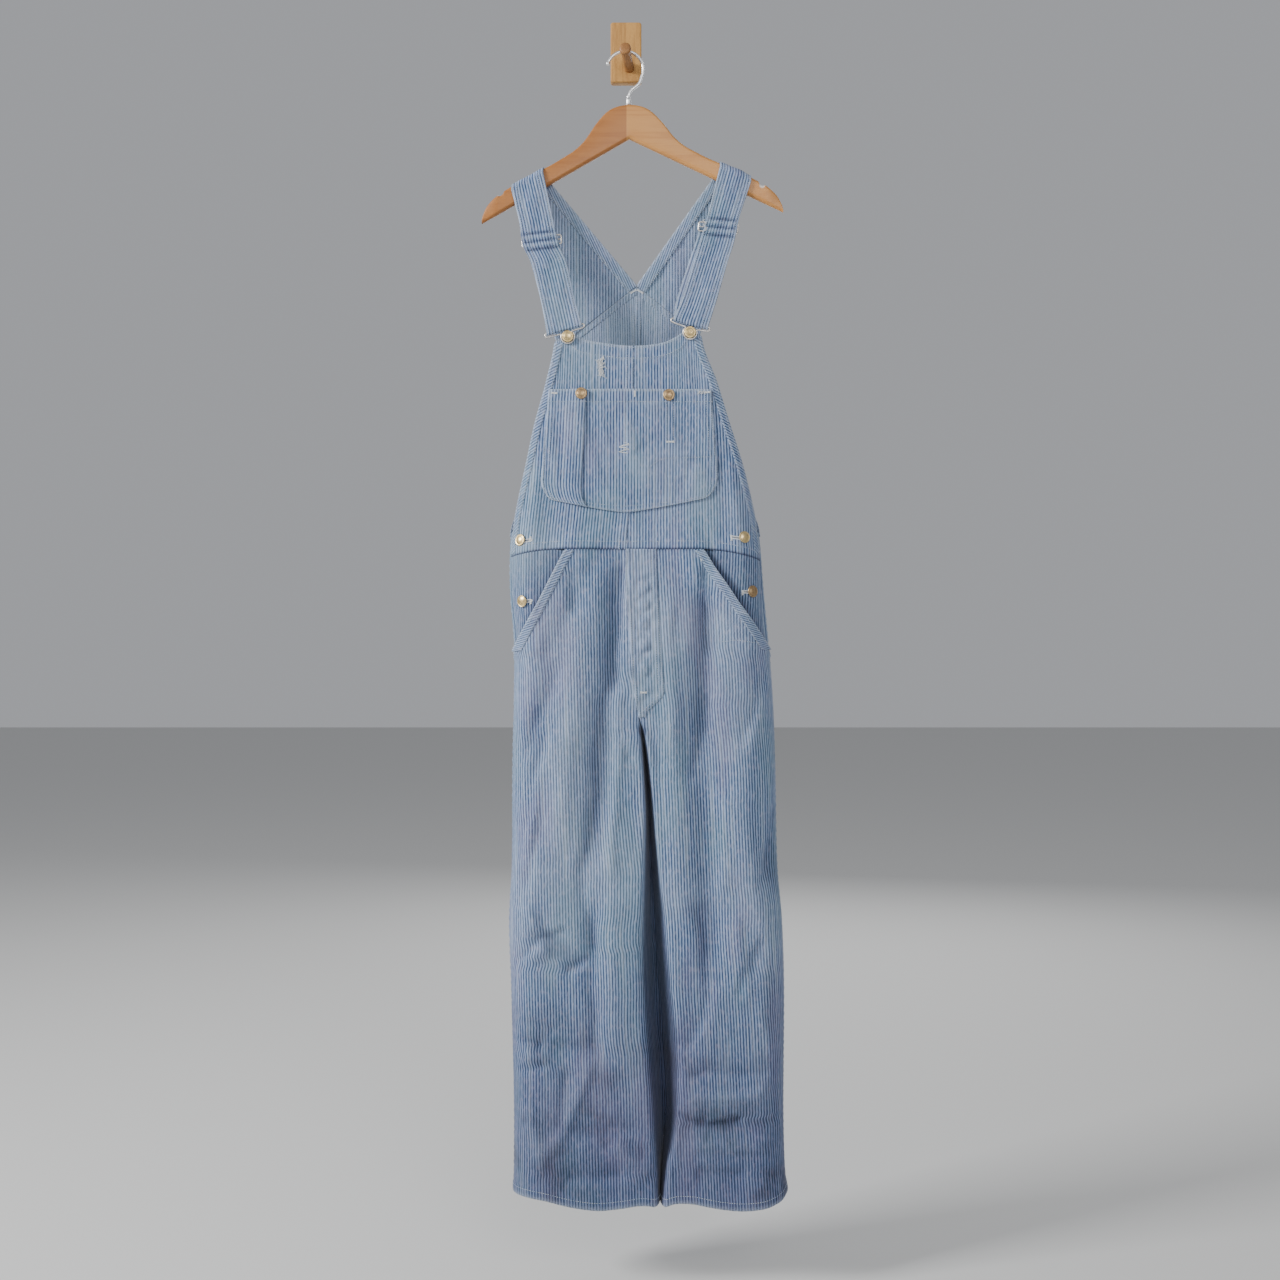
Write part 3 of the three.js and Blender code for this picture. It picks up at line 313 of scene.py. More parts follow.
# %% [markdown]
# ## Points on the cloth
# The same few steps that shape the solid give every point here, so each new piece lies
# on its solid. Only the inner sides of the legs fall back more steeply, which leaves the
# open shaded gap that is seen between hanging legs. A place is given by the half of the
# garment, the face, and how far it lies across: 0 to 1 round the side, 1 to 2 over the
# flat middle and 2 to 3 to the centre seam or the inseam.

# %% Points on the cloth
def section(half, face, z):
    turn = np.clip((CROTCH_TOP_Z - z) / (CROTCH_TOP_Z - CROTCH_Z), 0, 1)
    away = -1 if face == "front" else 1
    return {
        "edge": column(form, "left" if half < 0 else "right", z),
        "depth": np.abs(column(form, face, z) - SIDE_Y),
        "corner": column(form, "corner", z),
        "open": np.radians(column(form, face + "_open", z)),
        "middle": column(halves, face, z) + half * (0.25 + 0.1 * turn),
        "inner": column(halves, "inner", z),
        "turn": turn * math.pi / 2,
        "away": away,
        "seam_y": SIDE_Y + away * 0.2,
    }


def on_cloth(half, face, x, z):
    """Points of the outer face of the cloth at x, z."""
    x, z = np.broadcast_arrays(np.asarray(x, float), np.asarray(z, float))
    s = section(half, face, z)
    from_edge = (s["edge"] - x) * half
    from_middle = (x - s["middle"]) * half
    sunk = s["inner"] * np.sin(s["turn"])
    side = np.sqrt(np.maximum(0, 1 - np.clip(1 - from_edge / s["corner"], -1, 1) ** 2))
    inside = np.sqrt(np.maximum(0, 1 - np.clip((sunk - from_middle) / s["inner"], 0, 1) ** 2))
    reach = np.where(from_edge < s["corner"], side, np.where(from_middle < sunk, inside, 1))
    depth = (s["depth"] + fold_at(face, x, z)) * reach
    return np.stack([x, s["seam_y"] + s["away"] * depth, z], axis=-1)


def on_panel(half, face, across, z):
    across, z = np.broadcast_arrays(np.asarray(across, float), np.asarray(z, float))
    s = section(half, face, z)
    flat_start = s["edge"] - half * s["corner"]
    flat_end = s["middle"] + half * s["inner"]
    angle = across * math.pi / 2
    flat = s["inner"] * (1 - np.sin(s["turn"]))
    arc = s["turn"] * (s["inner"] + s["depth"]) / 2
    run = (across - 2) * (flat + arc)
    bent = (run - flat) / np.maximum(arc, 1e-6) * s["turn"]
    curls = (run >= flat) & (s["turn"] > 0)
    x_inside = np.where(
        curls, s["middle"] + half * s["inner"] * (np.sin(s["turn"]) - np.sin(bent)), flat_end - half * run,
    )
    x = np.where(
        across < 1, s["edge"] - half * s["corner"] * (1 - np.cos(angle)),
        np.where(across < 2, flat_start + (flat_end - flat_start) * (across - 1), x_inside),
    )
    reach = np.where(across < 1, np.sin(angle), np.where((across >= 2) & curls, np.cos(bent), 1))
    depth = (s["depth"] + fold_at(face, x, z) * np.abs(reach)) * reach
    fall = smooth(-1000, -1090, z) * (1 - smooth(-1560, -1660, z)) * (2.2 if face == "front" else 0.6)
    depth = depth * np.where((across >= 2) & curls, np.abs(np.cos(bent)) ** fall, 1)
    return np.stack([x, s["seam_y"] + s["away"] * depth, z], axis=-1)


def across_at(half, face, x, z):
    s = section(half, face, z)
    from_edge = (s["edge"] - x) * half
    round_part = np.arccos(np.clip(1 - from_edge / s["corner"], -1, 1)) / (math.pi / 2)
    flat = np.abs(s["middle"] + half * s["inner"] - s["edge"]) - s["corner"]
    return np.where(from_edge < s["corner"], round_part, 1 + (from_edge - s["corner"]) / flat)


SIDES = {"left": -1, "right": 1}
print("depth of the front at the waist:", round(float(on_cloth(1, "front", 60, -760)[1]), 1))

# %% [markdown]
# ## Edges and seams
# The cut of the garment: where the bib ends at the top, the waist seam, the sloping yoke
# seams of the back, the bowed hems and the slanting pocket edges. Each one is a height
# for a place across, or a place across for a height.

# %% Edges and seams
bib_edge = {
    "x": [-104, -84, -68, -36, 6, 50, 76, 93, 113],
    "z": [-441, -425, -436, -443, -447.5, -444, -433, -419, -434],
}
hem_fall = {  # below the side seam's end, from the side seam at 0 to the inseam at 1
    -1: {"u": [0, 0.12, 0.22, 0.32, 0.42, 0.58, 0.72, 0.86, 1],
         "fall": [0, 0.5, 4, 10, 14.5, 18.5, 15.5, 11.5, 13.5]},
    1: {"u": [0, 0.05, 0.12, 0.21, 0.38, 0.52, 0.64, 0.76, 0.9, 1],
        "fall": [0, 7, 12, 16.5, 19, 17, 13, 9, 8.5, 13.5]},
}
YOKE_TOP = (16, -349)
slash = {"left": (-86, -159, -886), "right": (111, 204, -884)}
CLOTH = 1.5


def bib_top(x):
    return column(bib_edge, "z", x, key="x")


def waist_line(x):
    return WAIST_Z - 11 * (np.maximum(0, np.abs(x - 6) - 95) / 80) ** 2


def yoke_line(x):
    return YOKE_TOP[1] - 0.77 * np.abs(x - YOKE_TOP[0])


def hem_line(half, x):
    outer = -165 if half < 0 else 237
    u = np.clip((x - outer) / (53 - outer), 0, 1)
    return HEM_Z - column(hem_fall[half], "fall", u, key="u")


def slash_x(name, z):
    top_x, bottom_x, bottom_z = slash[name]
    return top_x + (bottom_x - top_x) * (z - WAIST_Z) / (bottom_z - WAIST_Z)


def bib_corner(name):
    """Height of the bib's outer corner."""
    return float(bib_top(np.array([bib_edge["x"][0 if name == "left" else -1]]))[0])


def gaping(z):
    """1 where a slanting pocket stands open most, fading above and below."""
    return np.exp(-(((z + 812) / 42) ** 2))


def lift_at(name, x, z):
    """How far a front panel rises to pass over the pocket facing."""
    inward = (slash_x(name, z) - x) * SIDES[name]
    beside = smooth(-16, -2, inward) * (1 - smooth(28, 58, inward))
    gape = (3.0 if name == "right" else 0.6) * gaping(z)
    return (CLOTH + 2 + gape) * beside * smooth(-905, -886, z) * (1 - smooth(-735, -700, z))


def open_edge(half, face):
    """Where a face begins across, above the waist at the side of the bib or the armhole."""
    return lambda z: section(half, face, z)["open"] / (math.pi / 2)


def panel_grid(half, face, start, top, bottom, columns, rows, row_at=None):
    """Points of a panel, its rows from top to bottom and its columns from the side in."""
    c = np.concatenate([[0], np.linspace(0.0035, 0.9965, columns - 1), [1]])
    r = np.concatenate([[0], np.linspace(0.0015, 0.9985, rows - 1), [1]])
    if row_at is not None:
        r = row_at(r)
    spread = np.interp(c, [0, 0.27, 0.77, 1], [0, 1, 2, 3])[None, :]
    r = r[:, None]
    z = np.broadcast_to(top(np.zeros(1)) * (1 - r) + bottom(np.zeros(1)) * r, (rows + 1, columns + 1))
    for _ in range(6):
        first = start(z)
        points = on_panel(half, face, first + (3 - first) * spread / 3, z)
        x = points[..., 0]
        z = top(x) * (1 - r) + bottom(x) * r
    points[..., 2] = z
    return points


print("hem at the middle of the left leg:", round(float(hem_line(-1, -56)), 1))

# %% [markdown]
# ## A cloth shell from a grid of points
# Real cloth has a thickness and soft edges. The helper takes a grid of points, moves one
# copy out and one in along the normals, and closes the rim with a rounded middle ring.
# Two attributes are kept on every point: grain holds the place in the weave in metres,
# so that stripes follow the cloth through every fold, and a wear attribute tells how close
# a worn edge or seam is; below zero it carries painted shade, in troughs, on the inner legs
# and along some seams, and on a few areas it adds painted light.

# %% Shell helpers
def normals_of(points, toward):
    across = np.gradient(points, axis=1)
    along = np.gradient(points, axis=0)
    normal = np.cross(across, along)
    normal /= np.linalg.norm(normal, axis=-1, keepdims=True) + 1e-9
    middle = normal[normal.shape[0] // 2, normal.shape[1] // 2]
    return normal if np.dot(middle, toward) > 0 else -normal


def arc_lengths(points):
    """Distance of each point from the first column and from the first row."""
    across = np.linalg.norm(np.diff(points, axis=1), axis=-1)
    along = np.linalg.norm(np.diff(points, axis=0), axis=-1)
    u = np.concatenate([np.zeros((points.shape[0], 1)), np.cumsum(across, axis=1)], axis=1)
    v = np.concatenate([np.zeros((1, points.shape[1])), np.cumsum(along, axis=0)], axis=0)
    return u, v


def edge_distances(points):
    u, v = arc_lengths(points)
    return {"first": u, "last": u[:, -1:] - u, "top": v, "bottom": v[-1:, :] - v}


def upright_grain(points, grain_x):
    """Weave place with the warp upright, u measured round the cloth from grain_x."""
    u, _ = arc_lengths(points)
    x = points[..., 0]
    if isinstance(grain_x, dict):
        grain_x = np.interp(points[..., 2].mean(axis=1), grain_x["z"], grain_x["x"])
    grain_x = np.broadcast_to(grain_x, points.shape[0])
    start = np.empty(points.shape[0])
    for j in range(points.shape[0]):
        order = np.argsort(x[j])
        start[j] = np.interp(grain_x[j], x[j][order], u[j][order])
    sign = 1 if x[x.shape[0] // 2, -1] > x[x.shape[0] // 2, 0] else -1
    return np.stack([(u - start[:, None]) * sign, points[..., 2]], axis=-1)


def along_grain(points, offset=0.0):
    """Weave place with the warp along the rows of points, as on straps and bands."""
    u, v = arc_lengths(points)
    middle = u[:, -1:] / 2
    return np.stack([u - middle + offset, v], axis=-1)


def mesh_object(name, vertices, faces, material, grain, wear):
    mesh = bpy.data.meshes.new(name)
    mesh.from_pydata((vertices * MM).tolist(), [], faces.tolist())
    flat = np.zeros((len(vertices), 3))
    flat[:, :2] = grain * MM
    mesh.attributes.new("grain", "FLOAT_VECTOR", "POINT").data.foreach_set("vector", flat.ravel())
    mesh.attributes.new("wear", "FLOAT", "POINT").data.foreach_set("value", wear.astype(float))
    mesh.polygons.foreach_set("use_smooth", [True] * len(mesh.polygons))
    mesh.materials.append(material)
    mesh.update()
    return linked(name, mesh)


def cloth_shell(name, points, toward, high, low, material, grain, wear):
    """Closed cloth on a grid of points, its faces at the heights high and low above them."""
    rows, columns = points.shape[:2]
    normal = normals_of(points, toward)
    high = np.broadcast_to(high, (rows, columns))[..., None]
    low = np.broadcast_to(low, (rows, columns))[..., None]
    count = rows * columns
    ids = np.arange(count).reshape(rows, columns)
    loop = np.concatenate([ids[0, :-1], ids[:-1, -1], ids[-1, :0:-1], ids[:0:-1, 0]])
    out = np.zeros_like(points)
    out[0] += points[0] - points[1]
    out[-1] += points[-1] - points[-2]
    out[:, 0] += points[:, 0] - points[:, 1]
    out[:, -1] += points[:, -1] - points[:, -2]
    flat_out = out.reshape(-1, 3)[loop]
    flat_out /= np.linalg.norm(flat_out, axis=1, keepdims=True) + 1e-9
    half_thick = ((high - low) / 2).reshape(-1, 1)[loop]
    ring = (points + normal * (high + low) / 2).reshape(-1, 3)[loop] + flat_out * half_thick * 0.7
    vertices = np.concatenate([
        (points + normal * high).reshape(-1, 3), (points + normal * low).reshape(-1, 3), ring,
    ])
    quads = np.stack([ids[:-1, :-1], ids[:-1, 1:], ids[1:, 1:], ids[1:, :-1]], axis=-1).reshape(-1, 4)
    after = np.roll(loop, -1)
    ring_ids = 2 * count + np.arange(len(loop))
    ring_after = np.roll(ring_ids, -1)
    faces = np.concatenate([
        quads, quads[:, ::-1] + count,
        np.stack([after, loop, ring_ids, ring_after], axis=-1),
        np.stack([ring_after, ring_ids, loop + count, after + count], axis=-1),
    ])
    a, b, c = vertices[faces[len(quads) // 2][:3]]
    centre_normal = normal.reshape(-1, 3)[faces[len(quads) // 2][0]]
    if np.dot(np.cross(b - a, c - b), centre_normal) < 0:
        faces = faces[:, ::-1]
    grain = np.asarray(grain).reshape(-1, 2)
    wear = np.broadcast_to(wear, (rows, columns)).reshape(-1)
    return mesh_object(
        name, vertices, faces, material,
        np.concatenate([grain, grain, grain[loop]]),
        np.concatenate([wear, wear, np.minimum(1, wear[loop] + 0.25)]),
    )


def rub(distance, reach, strength=1.0):
    """A falloff from an edge or a seam, used for wear and, where it is subtracted, for painted shade."""
    return strength * np.exp(-distance / reach)


def pucker(distance, along, seed, height=0.6, wave=10, reach=9):
    """Small ripples where a seam has drawn the cloth together."""
    phase = along / wave * 2 * math.pi + 1.9 * np.sin(along / 37 + seed) + np.sin(along / 19 + 2.3 * seed)
    strength = 0.62 + 0.38 * np.sin(along / 53 + seed * 1.3)
    return height * strength * np.sin(phase) * np.exp(-((np.abs(distance) / reach) ** 1.4))


print("helpers ready")

# %% [markdown]
# ## Striped cloth
# Hickory stripe is a stout cotton twill with light and indigo stripes a few millimetres
# wide. The stripes are worked out from the grain attribute, with slightly uneven yarns.
# Fading, changes of tint and paler worn seams come on top, with painted shade in the troughs,
# on the inner legs, along some seams and darkening the lower leg, and painted light in a few
# places. The fine twill and the small wrinkles go into the bump, which costs no points.

# %% Cloth colour group
STRIPE_PITCH = 4.3 * MM


def node(tree, kind, inputs=None, **settings):
    made = tree.nodes.new(kind)
    for key, value in settings.items():
        setattr(made, key, value)
    for key, value in (inputs or {}).items():
        if isinstance(value, bpy.types.NodeSocket):
            tree.links.new(value, made.inputs[key])
        else:
            made.inputs[key].default_value = value
    return made


def maths(tree, operation, first, second=0.0):
    return node(tree, "ShaderNodeMath", {0: first, 1: second}, operation=operation).outputs[0]


def ramp(tree, value, low, high, to_low=0.0, to_high=1.0):
    return node(
        tree, "ShaderNodeMapRange",
        {"Value": value, "From Min": low, "From Max": high, "To Min": to_low, "To Max": to_high},
        interpolation_type="SMOOTHSTEP",
    ).outputs["Result"]


def mix(tree, factor, first, second, blend="MIX"):
    made = node(tree, "ShaderNodeMix", {0: factor, 6: first, 7: second}, data_type="RGBA", blend_type=blend)
    return made.outputs[2]


def noise(tree, vector, scale, detail=2.0, roughness=0.5):
    made = node(
        tree, "ShaderNodeTexNoise",
        {"Vector": vector, "Scale": scale, "Detail": detail, "Roughness": roughness},
    )
    return made.outputs["Fac"]


def stretched(tree, vector, scale):
    return node(tree, "ShaderNodeVectorMath", {0: vector, 1: scale}, operation="MULTIPLY").outputs[0]


def place_on(tree):
    return node(tree, "ShaderNodeTexCoord").outputs["Object"]


def shader_group(name, inputs, outputs):
    """A shader node group and its given values, with the inputs and outputs named."""
    made = bpy.data.node_groups.new(name, "ShaderNodeTree")
    for title, kind, value in inputs:
        socket = made.interface.new_socket(title, in_out="INPUT", socket_type="NodeSocket" + kind)
        socket.default_value = value
    for title, kind in outputs:
        made.interface.new_socket(title, in_out="OUTPUT", socket_type="NodeSocket" + kind)
    return made, node(made, "NodeGroupInput").outputs


cloth_group, given = shader_group("striped cloth", [
    ("Light yarn", "Color", (0.345, 0.46, 0.68, 1)),
    ("Dark yarn", "Color", (0.032, 0.066, 0.14, 1)),
    ("Worn yarn", "Color", (0.54, 0.61, 0.70, 1)),
    ("Pitch", "Float", STRIPE_PITCH),
    ("Wear", "Float", 0.6),
], [("Color", "Color"), ("Roughness", "Float"), ("Height", "Float")])

g = cloth_group
grain = node(g, "ShaderNodeAttribute", attribute_name="grain").outputs["Vector"]
worn_and_shaded = node(g, "ShaderNodeAttribute", attribute_name="wear").outputs["Fac"]
place = place_on(g)
u, v, _ = node(g, "ShaderNodeSeparateXYZ", {0: grain}).outputs

# stripes with yarns that wander a little
wander = maths(g, "MULTIPLY", maths(g, "SUBTRACT", noise(g, grain, 90), 0.5), 0.0007)
phase = maths(g, "DIVIDE", maths(g, "ADD", u, wander), given["Pitch"])
wave = maths(g, "PINGPONG", phase, 0.5)
light = ramp(g, wave, 0.225, 0.325)
slub = noise(g, stretched(g, grain, (1.0, 0.035, 1.0)), 1500)
light = maths(g, "MULTIPLY", light, ramp(g, slub, 0.3, 0.62, 0.66, 1.0))
dark_yarn = mix(g, ramp(g, slub, 0.35, 0.7), given["Dark yarn"], (0.08, 0.13, 0.24, 1))
colour = mix(g, light, dark_yarn, given["Light yarn"])

# every stripe has faded a little differently, and short lengths of it again
stripe_fade = noise(g, stretched(g, grain, (1.0, 0.03, 1.0)), 190, 2, 0.6)
colour = mix(g, ramp(g, stripe_fade, 0.38, 0.55, 0.34, 0.0), colour, (0.62, 0.66, 0.78, 1), "MULTIPLY")
colour = mix(g, ramp(g, stripe_fade, 0.52, 0.72, 0.0, 0.26), colour, given["Worn yarn"])
mottle = noise(g, stretched(g, grain, (1.0, 0.3, 1.0)), 330, 2, 0.6)
colour = mix(g, ramp(g, mottle, 0.36, 0.5, 0.30, 0.0), colour, (0.60, 0.74, 0.78, 1), "MULTIPLY")
colour = mix(g, ramp(g, mottle, 0.5, 0.66, 0.0, 0.20), colour, (0.56, 0.50, 0.62, 1))

# fading in soft patches, and a faint change of tint
patches = noise(g, place, 7, 3)
colour = mix(g, ramp(g, patches, 0.42, 0.75, 0.0, 0.16), colour, given["Worn yarn"])
tint = noise(g, stretched(g, place, (1.0, 1.0, 0.35)), 16, 2)
colour = mix(g, ramp(g, tint, 0.35, 0.5, 0.16, 0.0), colour, (0.13, 0.27, 0.26, 1))
colour = mix(g, ramp(g, tint, 0.52, 0.68, 0.0, 0.18), colour, (0.27, 0.19, 0.33, 1))

# painted shade: the lower legs are darkened towards the hem, and noisy patches there are a little dusty
height_z = node(g, "ShaderNodeSeparateXYZ", {0: place}).outputs[2]
lower = ramp(g, height_z, -1.24, -1.66, 0.0, 0.92)
colour = mix(g, lower, colour, (0.53, 0.50, 0.57, 1), "MULTIPLY")
dirt = ramp(g, noise(g, place, 13, 3, 0.6), 0.5, 0.68)
colour = mix(g, maths(g, "MULTIPLY", lower, dirt), colour, (0.68, 0.62, 0.60, 1), "MULTIPLY")

# painted shade: where the wear attribute is below zero (fold troughs, the inner sides of the legs, the waist seam and
# other recesses) the colour is darkened
painted_shade = ramp(g, worn_and_shaded, 0.0, -1.0)
colour = mix(g, painted_shade, colour, (0.30, 0.30, 0.36, 1), "MULTIPLY")

# worn seams and edges, and painted light on fold ridges, pocket puffs, the upper back and the back of the straps,
# paled towards the worn yarn and broken up by a fine grain
speckle = ramp(g, noise(g, grain, 700, 3, 0.7), 0.32, 0.62)
rubbed_and_painted_light = maths(g, "MULTIPLY", maths(g, "MULTIPLY", maths(g, "MAXIMUM", worn_and_shaded, 0.0), speckle), given["Wear"])
colour = mix(g, rubbed_and_painted_light, colour, given["Worn yarn"])

# twill lines, raised light yarns and small wrinkles for the bump
twill = maths(g, "SINE", maths(g, "MULTIPLY", maths(g, "ADD", u, maths(g, "MULTIPLY", v, 0.8)), 7200.0))
yarns = maths(g, "ADD", maths(g, "MULTIPLY", twill, 0.12), maths(g, "MULTIPLY", light, 0.2))
rough_cloth = noise(g, grain, 420, 3, 0.6)
height = maths(g, "ADD", yarns, rough_cloth)
dry = ramp(g, rough_cloth, 0.2, 0.8, 0.86, 0.97)
node(g, "NodeGroupOutput", {"Color": colour, "Roughness": dry, "Height": height})
print("cloth nodes:", len(g.nodes))


# %% Cloth materials
def cloth_material(name, light_yarn=None, dark_yarn=None):
    made, tree, shader = fresh_material(name)
    cloth = node(tree, "ShaderNodeGroup", node_tree=cloth_group)
    if light_yarn:
        cloth.inputs["Light yarn"].default_value = light_yarn
    if dark_yarn:
        cloth.inputs["Dark yarn"].default_value = dark_yarn
    wrinkle = noise(tree, stretched(tree, place_on(tree), (1.0, 1.0, 0.7)), 55, 3, 0.55)
    soft = node(tree, "ShaderNodeBump", {"Height": wrinkle, "Distance": 0.0026, "Strength": 0.7})
    fine = node(
        tree, "ShaderNodeBump",
        {"Height": cloth.outputs["Height"], "Distance": 0.0003, "Strength": 0.5, "Normal": soft.outputs[0]},
    )
    tree.links.new(cloth.outputs["Color"], shader.inputs["Base Color"])
    tree.links.new(cloth.outputs["Roughness"], shader.inputs["Roughness"])
    tree.links.new(fine.outputs[0], shader.inputs["Normal"])
    shader.inputs["Sheen Weight"].default_value = 0.12
    shader.inputs["Sheen Roughness"].default_value = 0.5
    shader.inputs["Specular IOR Level"].default_value = 0.25
    return made


striped = cloth_material("striped_cloth")
striped_inside = cloth_material("striped_cloth_inside", (0.28, 0.39, 0.53, 1), (0.05, 0.095, 0.20, 1))
print("cloth materials ready")

# %% [markdown]
# ## Legs
# Each front leg is one long panel that runs from the fly to the outseam, with the slanting
# pocket edge cut out of its top corner. The hem is turned up twice, so its last
# centimetre is thicker. Ripples beside the seams show where the thread has drawn the
# cotton in over many washes.

# %% Front legs
FRONT = (0, -1, 0)
BACK = (0, 1, 0)
hem_depth = 12
seam_end_z = -985  # where the centre seams stop above the crotch
# the line down each leg along which the stripes stay in their places
leg_grain = {
    "left": {"z": [-1700, -743], "x": [-50, -74]},
    "right": {"z": [-1700, -743], "x": [134, 92]},
}
panels = {}


def finish_cloth(piece, node_name, points, held, *rests_on):
    """Rides a cloth piece on the root body and hides the solid it replaces."""
    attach(piece, "root")
    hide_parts(node_name)


def finish_strip(piece, flat, *rests_on):
    """Rides a narrow strip on the root body; flat, the size it was cut to, is not used."""
    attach(piece, "root")


def leg_start(name):
    half = SIDES[name]
    bottom_z = slash[name][2]

    def start(z):
        level = np.maximum(z, bottom_z)
        on_slash = across_at(half, "front", slash_x(name, level), level)
        return on_slash * smooth(bottom_z - 22, bottom_z, z)

    return start


def hem_rise(to_bottom, face_seed, x):
    """The double hem is thicker and ropes a little along its stitches."""
    double = 1.0 * (1 - smooth(hem_depth - 1, hem_depth + 1.5, to_bottom))
    roping = pucker(to_bottom - 6, x + 0.6 * to_bottom, face_seed, 0.45, 13, 7)
    return double + roping


def inner_shade(face, far_last, z):
    """1 on the inner side of a leg, where painted shade darkens the cloth, 0 elsewhere."""
    s = section(1, face, z)
    arc = s["turn"] * (s["inner"] + s["depth"]) / 2 + 1e-6
    return smooth(0.9, 0.55, far_last / arc) * smooth(0.3, 0.9, s["turn"])


def inseam_pucker(z):
    return 0.6 - 0.45 * smooth(-960, -1010, z)


def felled_inseam(half, far_last, z):
    """The seam allowance inside the leg, folded towards the left half."""
    return 0.75 * (1 - smooth(4, 6, far_last)) * smooth(-990, -1040, z) * (half < 0)


def leg_rows(r):
    return np.where(r < 0.3, r * 0.2 / 0.3, 0.2 + 0.8 * (r - 0.3) / 0.7)


for name, half in SIDES.items():
    points = panel_grid(
        half, "front", leg_start(name), lambda x: waist_line(x) - 0.2,
        lambda x, half=half: hem_line(half, x), 66, 250, leg_rows,
    )
    far = edge_distances(points)
    x, z = points[..., 0], points[..., 2]
    seed = 2 + half
    outseam = pucker(far["first"], z, seed, 0.7, 11) * (1 - smooth(-900, -880, z))
    relief = outseam + pucker(far["last"], z, seed + 3, inseam_pucker(z), 10)
    relief = relief + pucker(far["top"], x, seed + 5, 0.5, 9)
    lifted = lift_at(name, x, z) + relief
    high = lifted + hem_rise(far["bottom"], seed, x)
    high = high + felled_inseam(half, far["last"], z)
    slashed = np.where(z > slash[name][2] - 10, rub(far["first"], 4), rub(far["first"], 2, 0.35))
    inner_leg_shade = inner_shade("front", far["last"], z)
    wear = np.maximum.reduce([slashed, rub(far["last"], 2.5, 0.5), rub(far["bottom"], 2.2, 0.9)])
    # painted shadow: a dark line along the waist seam, under the bib's lapped edge
    wear = wear - rub(far["top"], 4, 0.6)
    # painted shade: the inner side of the leg is set below zero, and fold troughs are darkened
    wear = (wear + fold_wear("front", x, z)) * (1 - inner_leg_shade) - inner_leg_shade
    panels["front_leg_" + name] = (points, high)
    piece = cloth_shell(
        "front_leg_" + name + "_cloth", points, FRONT, high, lifted - CLOTH, striped,
        upright_grain(points, leg_grain[name]), wear,
    )
    carried_by = ["bib_" + name + "_cloth", "back_" + name + "_cloth"]
    finish_cloth(piece, "front_leg_" + name, points, "hung", *carried_by)

# %% [markdown]
# ## Back
# At the back each half runs in one length from the sloping yoke seam to the hem. The
# centre seam is felled: one side is folded over the other and stitched twice, which
# leaves a low flat ridge about a centimetre wide.

# %% Back halves
for name, half in SIDES.items():
    points = panel_grid(
        half, "back", open_edge(half, "back"), lambda x: yoke_line(x) - 0.4,
        lambda x, half=half: hem_line(half, x), 58, 330,
    )
    far = edge_distances(points)
    x, z = points[..., 0], points[..., 2]
    seed = 8 + half
    relief = pucker(far["first"], z, seed, 0.7, 11) * (1 - smooth(-740, -700, z))
    relief = relief + pucker(far["last"], z, seed + 3, inseam_pucker(z), 10)
    relief = relief + pucker(far["top"], x, seed + 5, 0.5, 9) * (1 - smooth(8, 3, far["last"]))
    ridge = 0.8 * (1 - smooth(10, 12, far["last"])) if half < 0 else 0
    high = relief + ridge * (z > seam_end_z) + felled_inseam(half, far["last"], z)
    high = high + hem_rise(far["bottom"], seed, x)
    wear = np.maximum.reduce([
        rub(far["first"], 3, 0.4), rub(far["last"], 3, 0.5), rub(far["bottom"], 2.2, 0.9), rub(far["top"], 3, 0.5),
    ])
    # painted light: the upper back, seen through the neck, is paled against the shade of the straps; folds add
    # painted shade and light
    wear = wear + fold_wear("back", x, z) + 0.55 * smooth(-700, -620, z)
    inner_leg_shade = inner_shade("back", far["last"], z)
    # painted shade: the inner side of the leg is set further below zero
    wear = wear * (1 - inner_leg_shade) - 1.25 * inner_leg_shade
    panels["back_" + name] = (points, high)
    piece = cloth_shell(
        "back_" + name + "_cloth", points, BACK, high, relief - CLOTH, striped,
        upright_grain(points, leg_grain[name]), wear,
    )
    finish_cloth(piece, "back_" + name, points, "hung", "strap_" + name + "_cloth")

# %% [markdown]
# ## Bib
# The bib is cut in two halves with a felled seam down the middle. Its top edge is turned
# down to a doubled band about two centimetres deep, and its lower edge laps over the
# tops of the legs with a raised seam.

# %% Bib halves
bib_hem = 20

for name, half in SIDES.items():
    side = open_edge(half, "front")
    points = panel_grid(half, "front", side, bib_top, lambda x: waist_line(x) - 0.1, 52, 110)
    far = edge_distances(points)
    x, z = points[..., 0], points[..., 2]
    seed = 14 + half
    relief = pucker(far["last"], z, seed, 0.35, 9, 6) + pucker(far["bottom"] - 12, x, seed + 1, 0.35, 8, 7)
    relief = relief + pucker(far["top"] - bib_hem, x, seed + 2, 0.3, 9, 6)
    double = 0.9 * (1 - smooth(bib_hem - 0.8, bib_hem + 1, far["top"]))
    lapped = 0.9 * (1 - smooth(12, 14, far["bottom"]))
    ridge = 0.8 * (1 - smooth(10.5, 12, far["last"])) if half < 0 else 0
    lifted = lift_at(name, x, z) + relief
    high = lifted + np.maximum.reduce([double, lapped, ridge + 0 * x])
    # painted shadow: the bib's lower edge is darkened along the waist seam
    wear = np.maximum.reduce([
        rub(far["top"], 2.2, 0.9), rub(np.abs(far["top"] - bib_hem), 2, 0.35),
        rub(far["last"], 2.5, 0.35), rub(np.abs(far["last"] - 11), 2, 0.3),
    ]) + fold_wear("front", x, z) - rub(far["bottom"], 2)
    panels["bib_" + name] = (points, high)
    piece = cloth_shell(
        "bib_" + name + "_cloth", points, FRONT, high, lifted - CLOTH, striped,
        upright_grain(points, 12), wear,
    )
    finish_cloth(piece, "bib_" + name, points, "hung", "bib_button_" + name)

